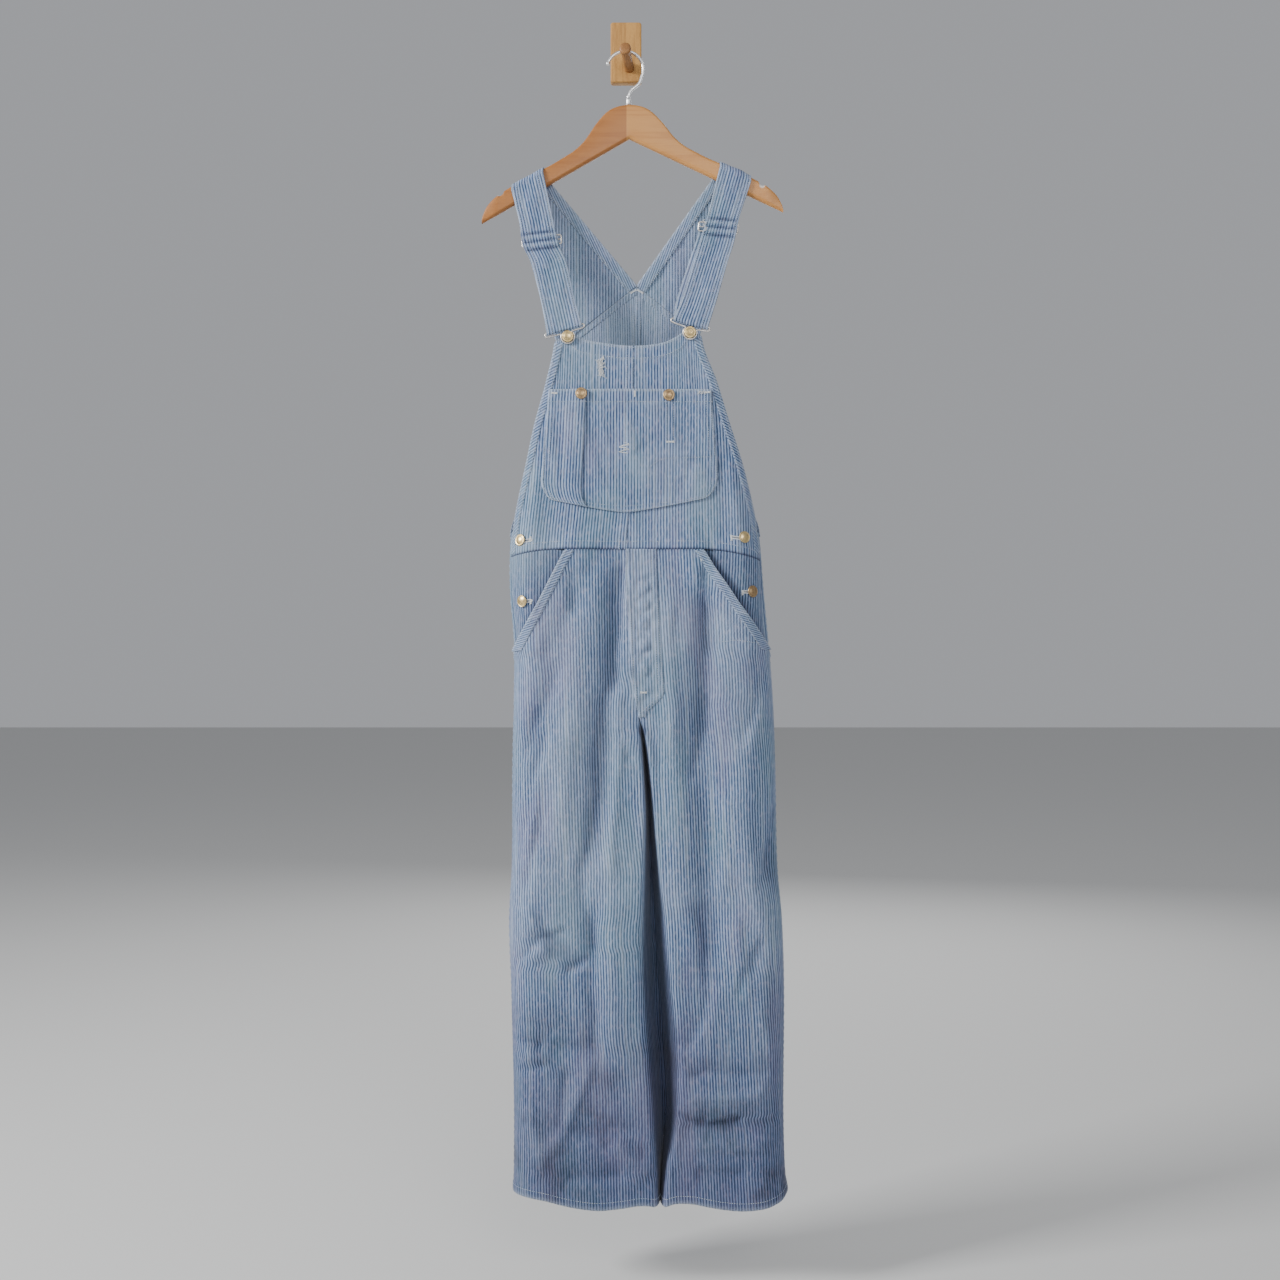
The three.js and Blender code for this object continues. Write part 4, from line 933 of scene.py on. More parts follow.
# %% [markdown]
# ## Turned edges
# The sides of the bib, the armholes and the slanting pocket edges are bound with a turned
# band about thirteen millimetres wide. Its stripes slant, because the band was cut along
# another line of the cloth than the panel. Each is a thin strip on the panel's own points.

# %% Turned edges
band_width = 13
band_slant = 58


def slanted_grain(points, degrees):
    u, v = arc_lengths(points)
    turn = math.radians(degrees)
    return np.stack([
        u * math.cos(turn) + v * math.sin(turn), v * math.cos(turn) - u * math.sin(turn),
    ], axis=-1)


def band_piece(name, points, toward, base, degrees, flat, rests_on):
    far = edge_distances(points)
    relief = pucker(far["first"] - band_width / 2, far["top"], len(name), 0.3, 8, 9)
    high = base + 0.25 + (1.0 + relief) * (0.4 + 0.6 * smooth(0, 2.5, far["last"]))
    wear = np.maximum(rub(far["first"], 2, 0.9), rub(far["last"], 1.5, 0.4))
    grain = slanted_grain(points, degrees)
    piece = cloth_shell(name, points, toward, high, base + 0.05, striped, grain, wear)
    finish_strip(piece, flat, rests_on)


c_band = np.linspace(0, 1, 7)[None, :]
for name, half in SIDES.items():
    z = np.linspace(WAIST_Z - 3, slash[name][2] - 4, 60)[:, None]
    x = slash_x(name, z) - half * (c_band * (band_width + 1) - 0.6)
    points = on_cloth(half, "front", x, z)
    base = lift_at(name, x, z) + 0.2
    band_piece("slash_band_" + name, points, FRONT, base, 62, (0.015, 0.17), "front_leg_" + name + "_cloth")

    z = np.linspace(bib_corner(name) - 2, WAIST_Z - 6, 90)[:, None]
    points = on_panel(half, "front", open_edge(half, "front")(z) + c_band * 0.2 - 0.01, z)
    base = lift_at(name, points[..., 0], z)
    out = (half, -1, 0)
    band_piece("bib_band_" + name, points, out, base, band_slant, (0.013, 0.33), "bib_" + name + "_cloth")

    z = np.linspace(-450, -722, 80)[:, None]
    points = on_panel(half, "back", open_edge(half, "back")(z) + c_band * 0.2 - 0.01, z)
    out = (half, 1, 0)
    band_piece("armhole_band_" + name, points, out, 0.3, band_slant, (0.013, 0.29), "back_" + name + "_cloth")

# %% [markdown]
# ## Pocket facings and button plackets
# Behind each slanting edge lies the pocket's facing, and behind the side opening lies the
# placket that carries the buttons' weight. They sink a little towards the bottom of the
# pocket, where the front closes over them. The placket runs on below it, out of sight.

# %% Pocket facings and plackets
def facing_dip(z):
    return 1.6 * (1 - smooth(-850, -815, z))


for name, half in SIDES.items():
    bottom_z = slash[name][2]
    c = np.linspace(0, 1, 25)[None, :]
    r = np.linspace(0, 1, 46)[:, None]
    z = np.broadcast_to(WAIST_Z * (1 - r) + (bottom_z + 6) * r, (46, 25))
    for _ in range(5):
        first = open_edge(half, "front")(z)
        last = across_at(half, "front", slash_x(name, np.maximum(z, bottom_z)) - half * 20, z)
        points = on_panel(half, "front", first + (last - first) * c, z)
        z = (waist_line(points[..., 0]) - 0.4) * (1 - r) + (bottom_z + 6) * r
    points[..., 2] = z
    far = edge_distances(points)
    x = points[..., 0]
    relief = pucker(far["top"], x, 21 + half, 0.4, 9) + 0.5 * np.sin(x / 7 + z / 15)
    relief = relief * smooth(0, 8, far["top"] + 4)
    gape = (4.0 if name == "right" else 1.0) * gaping(z) * smooth(0.35, 0.85, c)
    high = -facing_dip(z) - gape + relief * 0.6
    # painted shade: the facing is darkened overall, and most under the gaping edge of the front
    shaded = rub(np.maximum(0, far["last"] - 18), 11, 0.95 if name == "right" else 0.5)
    piece = cloth_shell(
        "pocket_facing_" + name + "_cloth", points, FRONT, high, high - CLOTH, striped,
        upright_grain(points, -150 if half < 0 else 190), rub(far["first"], 3, 0.4) - 0.3 - shaded,
    )
    panels["pocket_facing_" + name] = (points, high)
    finish_cloth(piece, "pocket_facing_" + name, points, "folded", "front_leg_" + name + "_cloth")

    z = np.linspace(-717, bottom_z - 24, 52)[:, None]
    c = np.linspace(-0.22, 0.56, 27)[None, :]
    points = on_panel(half, "front", c, z)
    base = -0.4 - (2.8 + facing_dip(z)) * smooth(0.18, 0.28, c) - 2.8 * smooth(0.02, -0.05, c)
    base = base - 2.6 * smooth(bottom_z, bottom_z - 6, z) * (base > -2.8)
    piece = cloth_shell(
        "side_placket_" + name + "_cloth", points, (half, -0.6, 0), base, base - CLOTH, striped_inside,
        along_grain(points), rub(edge_distances(points)["first"], 3, 0.5),
    )
    finish_cloth(piece, "side_placket_" + name, points, "folded", "back_" + name + "_cloth")

# %% [markdown]
# ## Fly
# The fly is a doubled strip on the right front with the buttons hidden below it. Its left
# edge is free and casts a fine shadow, its right edge melts into the leg below a line of
# stitches, and the hidden buttons press round marks into the cloth.

# %% Fly
c = np.linspace(0, 1, 22)[None, :]
r = np.linspace(0, 1, 90)[:, None]
fly_low, fly_wide, fly_narrow = -984, 44, 10
z = (WAIST_Z - 1) * (1 - r) + fly_low * r
fly_width = fly_wide + (fly_narrow - fly_wide) * smooth(0.82, 1, r) ** 1.5
x = column(halves, "front", z) + 0.6 + fly_width * c
points = on_cloth(1, "front", x, z)
far = edge_distances(points)
marks = np.zeros(points.shape[:2])
for mark_z in (-797, -824, -852, -881, -917):
    off = np.hypot(points[..., 0] - 27, points[..., 2] - mark_z)
    marks += 2.2 * np.exp(-((off / 8) ** 4)) + 1.2 * np.sin(off / 2.4) * np.exp(-((off / 15) ** 2))
relief = marks + pucker(far["last"] - 4, z, 31, 0.4, 9, 6) + pucker(far["bottom"], x, 32, 0.6, 7, 14)
creased = 0.7 * np.sin(points[..., 2] / 4.1 + np.sin(x / 9) * 2) * np.sin(points[..., 2] / 17 + 1)
high = 0.3 + relief * 0.8 + creased * smooth(3, 14, far["last"]) + 1.7 * smooth(0.2, 4, far["last"])
high = high + rub(far["first"], 5, 1.6) * smooth(0, 25, far["bottom"])
piece = cloth_shell(
    "fly_cloth", points, FRONT, high, np.minimum(high - 1.2, 0.25), striped,
    np.stack([x - 92 + 0.03 * (z + 743), z + 0 * x], axis=-1),
    0.22 + np.maximum(rub(far["first"], 2.2, 0.3), rub(far["bottom"], 3, 0.5)) - 0.12 * creased,
)
panels["fly"] = (points, high)
finish_cloth(piece, "fly_front", points, "folded", "front_leg_right_cloth")

# %% [markdown]
# ## Bib pocket
# The pocket is a doubled patch with rounded lower corners and a shallow point. A narrow
# compartment at the left laps over the main one, and an inner pocket shows as a low
# ridge through the cloth. The mouth has a deep hem and stands a little away from the bib.

# %% Bib pocket
pocket_top, pocket_low, low_x, corner_rise = -512, -690, -1, 20
mouth_left, wide_left, corner_left = -110, -122, -104
mouth_right, wide_right, corner_right = 123, 133, 113
pocket_hem = 20


def pocket_grid(from_x, to_x, columns, rows):
    c = np.linspace(0, 1, columns + 1)[None, :]
    r = np.concatenate([[0], np.linspace(0.005, 0.995, rows - 1), [1]])[:, None]
    rounded = 1 - np.sqrt(1 - np.clip((r - 0.8) / 0.2, 0, 1) ** 2)
    left = mouth_left + (wide_left - mouth_left) * np.minimum(r / 0.85, 1)
    left = left + (corner_left - left) * rounded
    right = mouth_right + (wide_right - mouth_right) * np.minimum(r / 0.8, 1)
    right = right + (corner_right - right) * rounded
    start = (from_x - mouth_left) / (mouth_right - mouth_left)
    end = (to_x - mouth_left) / (mouth_right - mouth_left)
    x = left + (right - left) * (start + (end - start) * c)
    bottom = pocket_low + corner_rise * (np.abs(x - low_x) / 115) ** 1.3
    z = pocket_top * (1 - r) + bottom * r
    left_points = on_cloth(-1, "front", x, z)
    right_points = on_cloth(1, "front", x, z)
    return np.where((x < column(halves, "front", z))[..., None], left_points, right_points)


def ridge_line(points, line, width, rise):
    """A low ridge or groove along a line of x, z places."""
    best = np.full(points.shape[:2], 1e9)
    for (x0, z0), (x1, z1) in zip(line[:-1], line[1:]):
        dx, dz = x1 - x0, z1 - z0
        t = np.clip(((points[..., 0] - x0) * dx + (points[..., 2] - z0) * dz) / (dx * dx + dz * dz), 0, 1)
        off = (points[..., 0] - x0 - dx * t) ** 2 + (points[..., 2] - z0 - dz * t) ** 2
        best = np.minimum(best, off)
    return rise * np.exp(-best / width**2)


inner_pocket = [(28, -630), (30, -622), (42, -612), (55, -608), (122, -606)]
# lines, width and rise of the creases in the pocket
pocket_creases = [
    ([(-52, -548), (-44, -590), (-22, -645)], 7, -2.4), ([(-38, -540), (-30, -585)], 6, 1.6),
    ([(-14, -556), (-20, -600), (-8, -650)], 6, -1.8), ([(4, -560), (10, -610)], 5, 1.4),
    ([(-20, -598), (14, -606), (30, -592)], 4, -1.4), ([(-26, -655), (20, -668), (70, -660)], 5, -1.5),
    ([(78, -560), (88, -596)], 6, -1.3), ([(96, -616), (84, -650)], 6, -1.6), ([(-100, -560), (-92, -640)], 6, -1.5),
    ([(28, -634), (60, -640), (110, -632)], 5, 1.2), ([(-84, -540), (-80, -600)], 5, 1.2),
]
deepest = 1.15
for label, from_x, to_x, columns, seed in [("main", -62, 123, 52, 41), ("left", -110, -57, 16, 43)]:
    points = pocket_grid(from_x, to_x, columns, 56)
    far = edge_distances(points)
    x, z = points[..., 0], points[..., 2]
    hem = 0.9 * (1 - smooth(pocket_hem - 1, pocket_hem + 1, far["top"]))
    relief = pucker(far["top"] - pocket_hem, x, seed, 0.35, 9, 6)
    relief = relief + pucker(far["bottom"] - 4, x, seed + 1, 0.45, 9, 9)
    outer_side = far["last"] if label == "main" else far["first"]
    relief = relief + pucker(outer_side - 4, z, seed + 2, 0.45, 10, 8)
    gape = rub(far["top"], 30, 1.6) * np.exp(-(((x - 5) / 50) ** 2))
    puff = 1.3 * np.sin(x / 13 + 1.2 + z / 60) * np.sin(z / 29 + x / 45)
    for line, width, rise in pocket_creases:
        puff = puff + ridge_line(points, line, width, rise)
    puff = puff * smooth(0, 25, far["bottom"]) * smooth(0, 20, outer_side) * smooth(10, 26, far["top"])
    puff = np.where(puff < 0, deepest * np.tanh(puff / deepest), puff)  # never down to the bib
    high = 2.8 + relief + puff + gape + hem
    if label == "main":
        high = high + ridge_line(points, inner_pocket, 3, 1.0)
        high = high - ridge_line(points, [(62, -528), (62, -592)], 1.6, 0.7)
    else:
        high = high + 2.5 * smooth(0.45, 0.8, np.linspace(0, 1, columns + 1))[None, :]
    low = high - hem - CLOTH
    low = low + (0.3 - low) * np.exp(-np.minimum(outer_side, far["bottom"]) / 2)
    wear = np.maximum.reduce([
        rub(far["top"], 2, 0.9), rub(outer_side, 2, 0.6), rub(far["bottom"], 2, 0.6),
        rub(np.abs(far["top"] - pocket_hem), 2, 0.3),
    ])
    if label == "left":
        wear = np.maximum(wear, rub(far["last"], 2, 0.5))
    else:
        # painted shadow: the main pocket is darkened beside the left compartment that laps over it
        wear = wear - 0.7 * smooth(10, 0, far["first"]) * smooth(0, 16, far["top"])
        wear = np.maximum(wear, 0.9 * smooth(5, 1, far["top"]) * np.exp(-(((x - 108) / 10) ** 2)))
    # painted shade in the pocket's creases, and paler puffs, partly wear and partly painted light
    wear = wear + 0.16 * puff
    panels["pocket_" + label] = (points, high)
    node_name = "bib_pocket" if label == "main" else "bib_pocket_left"
    grain = upright_grain(points, 12.8)
    piece = cloth_shell(node_name + "_cloth", points, FRONT, high, low, striped, grain, wear)
    finish_cloth(piece, node_name, points, "folded", "bib_left_cloth", "bib_right_cloth")

# %% [markdown]
# ## Straps
# Each strap is one length of doubled cloth: from the yoke seam up the back, over the
# hanger, down the front, round the bar of the wire buckle and up behind itself to the
# slide. The route is a row of cross lines, each with an outer and an inner end, and more
# lines are put between them on a smooth curve.

# %% Strap routes
hanger_top = np.array([3.5, SIDE_Y, -89.8])
hanger_tilt = math.radians(2.2)
hanger_half = 6.5
wire_radius = 1.3
hanger_edge = {
    "x": [0, 18, 32, 48, 66, 81, 97, 114, 130, 152, 178, 200, 213, 220, 221],
    "z": [0, -2.5, -9.5, -26, -50, -63.5, -73, -82.5, -90, -100.5, -114.5, -128, -141, -155, -160],
}
straps = {
    "left": {
        "over": (-167, -121),
        "front": [(-155, -263, -106, -263, -57.5), (-150, -298, -97, -298, -61), (-138, -324, -87, -322, -62.5),
                  (-122, -384, -75, -378, -68)],
        "bar": (-114, -430, -64, -416, -71.5), "shift": 0, "slide": (-122.5, -56.2, -292, 7), "button": (-84, -434),
    },
    "right": {
        "over": (183, 138),
        "front": [(165, -258, 118, -262, -57.5), (157, -296, 107, -296, -61), (149, -320, 100, -322, -62.5),
                  (132, -380, 81, -380, -68)],
        "bar": (119, -421, 70, -408, -71.5), "shift": -7, "slide": (135, -54.2, -272, -5), "button": (93.4, -428),
    },
}


def hanger_top_z(x):
    local = x - hanger_top[0]
    for _ in range(5):
        edge = float(column(hanger_edge, "z", abs(local), key="x"))
        local = (x - hanger_top[0] + edge * math.sin(hanger_tilt)) / math.cos(hanger_tilt)
    return hanger_top[2] + local * math.sin(hanger_tilt) + edge * math.cos(hanger_tilt)


# numbers of the cross lines at which the strap leaves the back, leaves the hanger and
# reaches the buckle's bar
LAST_BACK, LAST_OVER, FIRST_BAR = 8, 23, 28


def strap_lines(name):
    """Outer and inner ends of the cross lines."""
    half = SIDES[name]
    strap = straps[name]
    s = section(half, "back", np.array(-440.0))
    seam_x = float(s["edge"] - half * s["corner"] * (1 - np.cos(s["open"])))
    inner_x = YOKE_TOP[0] + half * 0.5
    seam_outer = on_cloth(half, "back", seam_x, yoke_line(seam_x) + 0.3)
    seam_inner = on_cloth(half, "back", inner_x, yoke_line(inner_x) + 0.9)
    over = hanger_half + 1.6 + CLOTH

    def arc(x, angle):
        up = hanger_top_z(x) - hanger_half + over * math.sin(angle)
        return np.array([x, SIDE_Y + over * math.cos(angle), up])

    outer, inner = [], []
    for t in [*np.linspace(0, 0.9, 8), 0.996]:
        outer.append(seam_outer * (1 - t) + arc(strap["over"][0], 0) * t)
        inner.append(seam_inner * (1 - t) + arc(strap["over"][1], 0) * t)
    for angle in np.linspace(0, math.pi, 15):
        outer.append(arc(strap["over"][0], angle))
        inner.append(arc(strap["over"][1], angle))
    for outer_x, outer_z, inner_x, inner_z, y in strap["front"]:
        outer.append(np.array([outer_x, y, outer_z]))
        inner.append(np.array([inner_x, y, inner_z]))
    outer_x, outer_z, inner_x, inner_z, y = strap["bar"]
    bar_round = wire_radius + 0.3 + CLOTH
    for angle in np.linspace(0, math.pi, 9):
        back = -bar_round * math.cos(angle)
        drop = bar_round * math.sin(angle)
        outer.append(np.array([outer_x, y + back, outer_z - drop]))
        inner.append(np.array([inner_x, y + back, inner_z - drop]))
    behind = 2 * CLOTH + 1.1
    for outer_x, outer_z, inner_x, inner_z, y in reversed(strap["front"][2:]):
        outer.append(np.array([outer_x + strap["shift"], y + behind, outer_z]))
        inner.append(np.array([inner_x + strap["shift"], y + behind, inner_z]))
    slide_x, slide_y, slide_z, _ = strap["slide"]
    drift = strap["shift"] * 0.6
    for lift, back in ((-9, 3.2), (0, 3.4)):
        outer.append(np.array([slide_x + half * 25 + drift, slide_y + back, slide_z + lift]))
        inner.append(np.array([slide_x - half * 25 + drift, slide_y + back, slide_z + lift]))
    return np.array(outer), np.array(inner)


def dense_lines(ends, places, steps):
    """Smooth curve through the ends of the cross lines, at the given places."""
    table = {"t": places, "x": ends[:, 0], "y": ends[:, 1], "z": ends[:, 2]}
    return np.stack([column(table, axis, steps, key="t") for axis in "xyz"], axis=-1)


def run_lengths(points):
    """Distance of each point of a line from its start."""
    return np.concatenate([[0], np.cumsum(np.linalg.norm(np.diff(points, axis=0), axis=1))])


strap_shapes = {}
for name, half in SIDES.items():
    outer, inner = strap_lines(name)
    places = run_lengths((outer + inner) / 2)
    fine = [np.linspace(a, b, max(2, int((b - a) / 3)) + 1)[:-1] for a, b in zip(places[:-1], places[1:])]
    steps = np.concatenate([*fine, [places[-1]]])
    strap_shapes[name] = (dense_lines(outer, places, steps), dense_lines(inner, places, steps), steps, places)
    print("strap", name, "is", round(places[-1]), "mm long")

# %% [markdown]
# ## Strap cloth
# The strap is fifty millimetres wide at the front and widens to the whole yoke at the
# back. Two rows of stitches run along each edge, the cloth between them is slightly
# full, and the two wires of the slide below press two low ridges up across the front.

# %% Strap cloth
slide_half = 6.5

for name, half in SIDES.items():
    outer, inner, steps, places = strap_shapes[name]
    c = np.concatenate([[0], np.linspace(0.02, 0.98, 17), [1]])[None, :, None]
    points = outer[:, None, :] * (1 - c) + inner[:, None, :] * c
    far = edge_distances(points)
    x, z = points[..., 0], points[..., 2]
    seed = 51 + half
    front_part = (steps > places[LAST_OVER]) & (steps < places[FIRST_BAR])
    slide_x, _, slide_level, slide_tilt = straps[name]["slide"]
    above = z - (slide_level + (x - slide_x) * math.tan(math.radians(slide_tilt)))
    at_slide = np.exp(-(((above - slide_half) / 3) ** 2)) + np.exp(-(((above + slide_half) / 3) ** 2))
    between = np.exp(-((above / 2.5) ** 2)) + np.exp(-(((np.abs(above) - 12) / 3) ** 2))
    ridges = (2.4 * at_slide - 0.8 * between) * front_part[:, None]
    side = np.minimum(far["first"], far["last"])
    relief = pucker(far["first"] - 5, far["top"], seed, 0.3, 9, 6)
    relief = relief + pucker(far["last"] - 5, far["top"], seed + 2, 0.3, 9, 6)
    full = 0.8 * smooth(3, 16, side) * (0.5 + 0.5 * np.sin(far["top"] / 41 + seed))
    wander = 1.2 * np.sin(far["top"] / 17 + x / 9) * smooth(6, 20, side)
    high = (relief + full + wander * 0.6) * smooth(0, 12, far["top"]) + ridges
    wear = np.maximum(rub(side, 1.8, 0.85), rub(np.abs(side - 6), 1.5, 0.25))
    wear = np.maximum(wear, 0.5 * at_slide * front_part[:, None])
    # painted shade in the low grooves between and beside the slide's two ridges
    wear = wear - 0.9 * between * front_part[:, None]
    upright = (steps < places[LAST_BACK] + 0.05)[:, None]
    # painted light: the part of the strap on the back, seen through the neck, is paled
    wear = wear + 0.35 * upright
    grain = np.where(upright[..., None], points[..., ::2], along_grain(points))
    panels["strap_" + name] = (points, high)
    panels["front_of_strap_" + name] = (points[front_part], high[front_part])
    piece = cloth_shell("strap_" + name + "_cloth", points, FRONT, high, high - CLOTH, striped, grain, wear)
    finish_cloth(piece, "strap_" + name, points, "hung", "hanger")

# %% [markdown]
# ## Turned edges of the neck
# Inside the neck the edge of each back strap is turned in a good centimetre deep. It
# shows between the straps, with its stripes slanting along the edge.

# %% Neck bands
neck_band_width = 12

for name, half in SIDES.items():
    outer, inner, steps, places = strap_shapes[name]
    back_lines = steps < places[LAST_BACK + 1]
    in_ends = inner[back_lines]
    across = outer[back_lines] - in_ends
    unit = across / np.linalg.norm(across, axis=1, keepdims=True)
    lean = np.clip(np.abs(unit[:, :1]), 0.4, 1)
    c = np.linspace(-0.03, 1, 9)[None, :, None]
    points = in_ends[:, None, :] + unit[:, None, :] * c * (neck_band_width / lean)[:, None, :]
    far = edge_distances(points)
    high = CLOTH + 1.4 + pucker(far["last"], far["top"], 61 + half, 0.4, 9, 9) * 0.5
    wear = 0.22 + np.maximum(rub(far["first"], 2, 0.8), rub(far["last"], 2, 0.3))
    slanted = along_grain(points, 0.8) * (1.3, 1) + (0.35, 0) * along_grain(points)[..., 1:]
    piece = cloth_shell("neck_band_" + name, points, FRONT, high, CLOTH - 0.3, striped, slanted, wear)
    finish_strip(piece, (0.015, 0.24), "strap_" + name + "_cloth")
    panels["neck_" + name] = (points, high)

# %% [markdown]
# ## Rows of stitches
# Work clothes are sewn with thick pale thread in double rows. A row is a line of places on
# the cloth. A node tree turns the lines into curves, sets one small thread bead at every
# step along them, and leans each bead a little at random. Stitches are made this way
# because there are thousands, and the length and thickness can then be set in one place.

# %% Thread material and stitch tree
thread, tree, shader = fresh_material("thread")
where = place_on(tree)
faded = ramp(tree, noise(tree, where, 60, 2), 0.35, 0.65)
thread_colour = mix(tree, faded, (0.33, 0.41, 0.51, 1), (0.55, 0.58, 0.61, 1))
strands = noise(tree, where, 2600, 2)
twist = node(tree, "ShaderNodeBump", {"Height": strands, "Distance": 0.0002, "Strength": 0.6})
tree.links.new(thread_colour, shader.inputs["Base Color"])
tree.links.new(twist.outputs[0], shader.inputs["Normal"])
shader.inputs["Roughness"].default_value = 0.8

stitch_tree = bpy.data.node_groups.new("stitch rows", "GeometryNodeTree")
s = stitch_tree
s.interface.new_socket("Geometry", in_out="INPUT", socket_type="NodeSocketGeometry")
s.interface.new_socket("Geometry", in_out="OUTPUT", socket_type="NodeSocketGeometry")
stitch_inputs = {}
for title, value in [("Step", 0.0034), ("Stitch length", 0.0025), ("Thread width", 0.0009)]:
    made = s.interface.new_socket(title, in_out="INPUT", socket_type="NodeSocketFloat")
    made.default_value = value
    stitch_inputs[title] = made.identifier
seed_socket = s.interface.new_socket("Seed", in_out="INPUT", socket_type="NodeSocketInt")
seed_socket.default_value = 7
stitch_inputs["Seed"] = seed_socket.identifier
material_socket = s.interface.new_socket("Material", in_out="INPUT", socket_type="NodeSocketMaterial")
stitch_inputs["Material"] = material_socket.identifier

given = node(s, "NodeGroupInput").outputs
lines = node(s, "GeometryNodeMeshToCurve", {"Mesh": given["Geometry"]}).outputs[0]
steps_along = node(s, "GeometryNodeResampleCurve", {"Curve": lines, "Length": given["Step"]}, mode="LENGTH")
tangent = node(s, "GeometryNodeInputTangent").outputs[0]
facing = node(s, "FunctionNodeAlignRotationToVector", {"Vector": tangent}, axis="X").outputs[0]
jitter = node(
    s, "FunctionNodeRandomValue", {0: (-0.16, -0.16, -0.16), 1: (0.16, 0.16, 0.16), "Seed": given["Seed"]},
    data_type="FLOAT_VECTOR",
).outputs[0]
leaned = node(s, "FunctionNodeRotateRotation", {0: facing, 1: jitter}, rotation_space="LOCAL").outputs[0]
bead = node(s, "GeometryNodeMeshIcoSphere", {"Radius": 0.5, "Subdivisions": 1}).outputs["Mesh"]
bead_size = node(
    s, "ShaderNodeCombineXYZ",
    {0: given["Stitch length"], 1: given["Thread width"], 2: given["Thread width"]},
).outputs[0]
set_out = node(
    s, "GeometryNodeInstanceOnPoints",
    {"Points": steps_along.outputs[0], "Instance": bead, "Rotation": leaned, "Scale": bead_size},
).outputs[0]
solid_beads = node(s, "GeometryNodeRealizeInstances", {0: set_out}).outputs[0]
smooth_beads = node(s, "GeometryNodeSetShadeSmooth", {"Geometry": solid_beads}).outputs[0]
dressed = {"Geometry": smooth_beads, "Material": given["Material"]}
finished = node(s, "GeometryNodeSetMaterial", dressed).outputs[0]
node(s, "NodeGroupOutput", {0: finished})


def stitch_piece(name, rows_of_points, seed, step=3.4, length=2.5, width=0.75, material=thread):
    """Lines of places in mm become one mesh of stitches."""
    vertices = np.concatenate(rows_of_points) * MM
    edges = []
    start = 0
    for row in rows_of_points:
        edges += [(start + k, start + k + 1) for k in range(len(row) - 1)]
        start += len(row)
    mesh = bpy.data.meshes.new(name + "_lines")
    mesh.from_pydata(vertices.tolist(), edges, [])
    lines_object = linked(name + "_lines", mesh)
    rows_made = lines_object.modifiers.new("stitches", "NODES")
    rows_made.node_group = stitch_tree
    for title, value in [("Step", step * MM), ("Stitch length", length * MM), ("Thread width", width * MM)]:
        rows_made[stitch_inputs[title]] = value
    rows_made[stitch_inputs["Seed"]] = seed
    rows_made[stitch_inputs["Material"]] = material
    graph = bpy.context.evaluated_depsgraph_get()
    sewn_mesh = bpy.data.meshes.new_from_object(lines_object.evaluated_get(graph), depsgraph=graph)
    bpy.data.objects.remove(lines_object)
    sewn = linked(name, sewn_mesh)
    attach(sewn, "root")
    print(name, "has", len(sewn_mesh.polygons) // 20, "stitches")


# %% [markdown]
# ## Where the seams are sewn
# The rows follow the edges of the panels at a few millimetres: two along every felled
# seam, hem, strap and band, one more round the pocket. Each row is taken from the
# panel's own points and moved out by the height that the cloth has there, so that the
# thread lies in the cloth at every fold.

# %% Seam rows
def surface(name):
    """Points just above the outer face of a panel."""
    points, high = panels[name]
    return points + normals_of(points, BACK if name.startswith("back") else FRONT) * (high[..., None] + 0.1)


def sewn_row(name, side, distance, keep=None):
    """A row at a distance in mm from one side of a panel."""
    skin = surface(name)
    far = edge_distances(skin)[side]
    if side in ("top", "bottom"):
        skin = skin.transpose(1, 0, 2)
        far = far.T
    row = np.empty((skin.shape[0], 3))
    for j in range(skin.shape[0]):
        order = np.argsort(far[j])
        for k in range(3):
            row[j, k] = np.interp(distance, far[j][order], skin[j, :, k][order])
    return row if keep is None else row[keep(row[:, 2])]


def below(level):
    return lambda z: z < level


body_rows = []
leg_rows_sewn = []
for name in SIDES:
    for panel in ("front_leg_", "back_"):
        leg_rows_sewn.append(sewn_row(panel + name, "bottom", 10.5))
    for distance in (2.0, 8.0):
        leg_rows_sewn.append(sewn_row("back_" + name, "first", distance, below(slash[name][2] - 12)))
    for side, distance in (("top", 2.5), ("top", 18), ("bottom", 11)):
        body_rows.append(sewn_row("bib_" + name, side, distance))
for distance in (1.8, 9.5):
    body_rows.append(sewn_row("bib_left", "last", distance, lambda z: (z > -500) | (z < -698)))
    body_rows.append(sewn_row("back_left", "last", distance, lambda z: z > seam_end_z))
print("rows on the body:", len(body_rows), "rows on the legs:", len(leg_rows_sewn))

# %% More seam rows
def laid_row(name, line, out=0.15):
    """A row along x, z places on a panel seen from the front, at the depth of its nearest points."""
    skin = surface(name).reshape(-1, 3)
    row = []
    for (x0, z0), (x1, z1) in zip(line[:-1], line[1:]):
        count = max(2, int(math.hypot(x1 - x0, z1 - z0) / 4))
        for t in np.linspace(0, 1, count, endpoint=False):
            row.append((x0 + (x1 - x0) * t, z0 + (z1 - z0) * t))
    row.append(line[-1])
    places = np.array(row)
    depth = []
    for x, z in places:
        near = np.argsort((skin[:, 0] - x) ** 2 + (skin[:, 2] - z) ** 2)[:4]
        weight = 1 / (np.hypot(skin[near, 0] - x, skin[near, 2] - z) + 0.3)
        depth.append((skin[near, 1] * weight).sum() / weight.sum())
    return np.stack([places[:, 0], np.array(depth) - out, places[:, 1]], axis=-1)


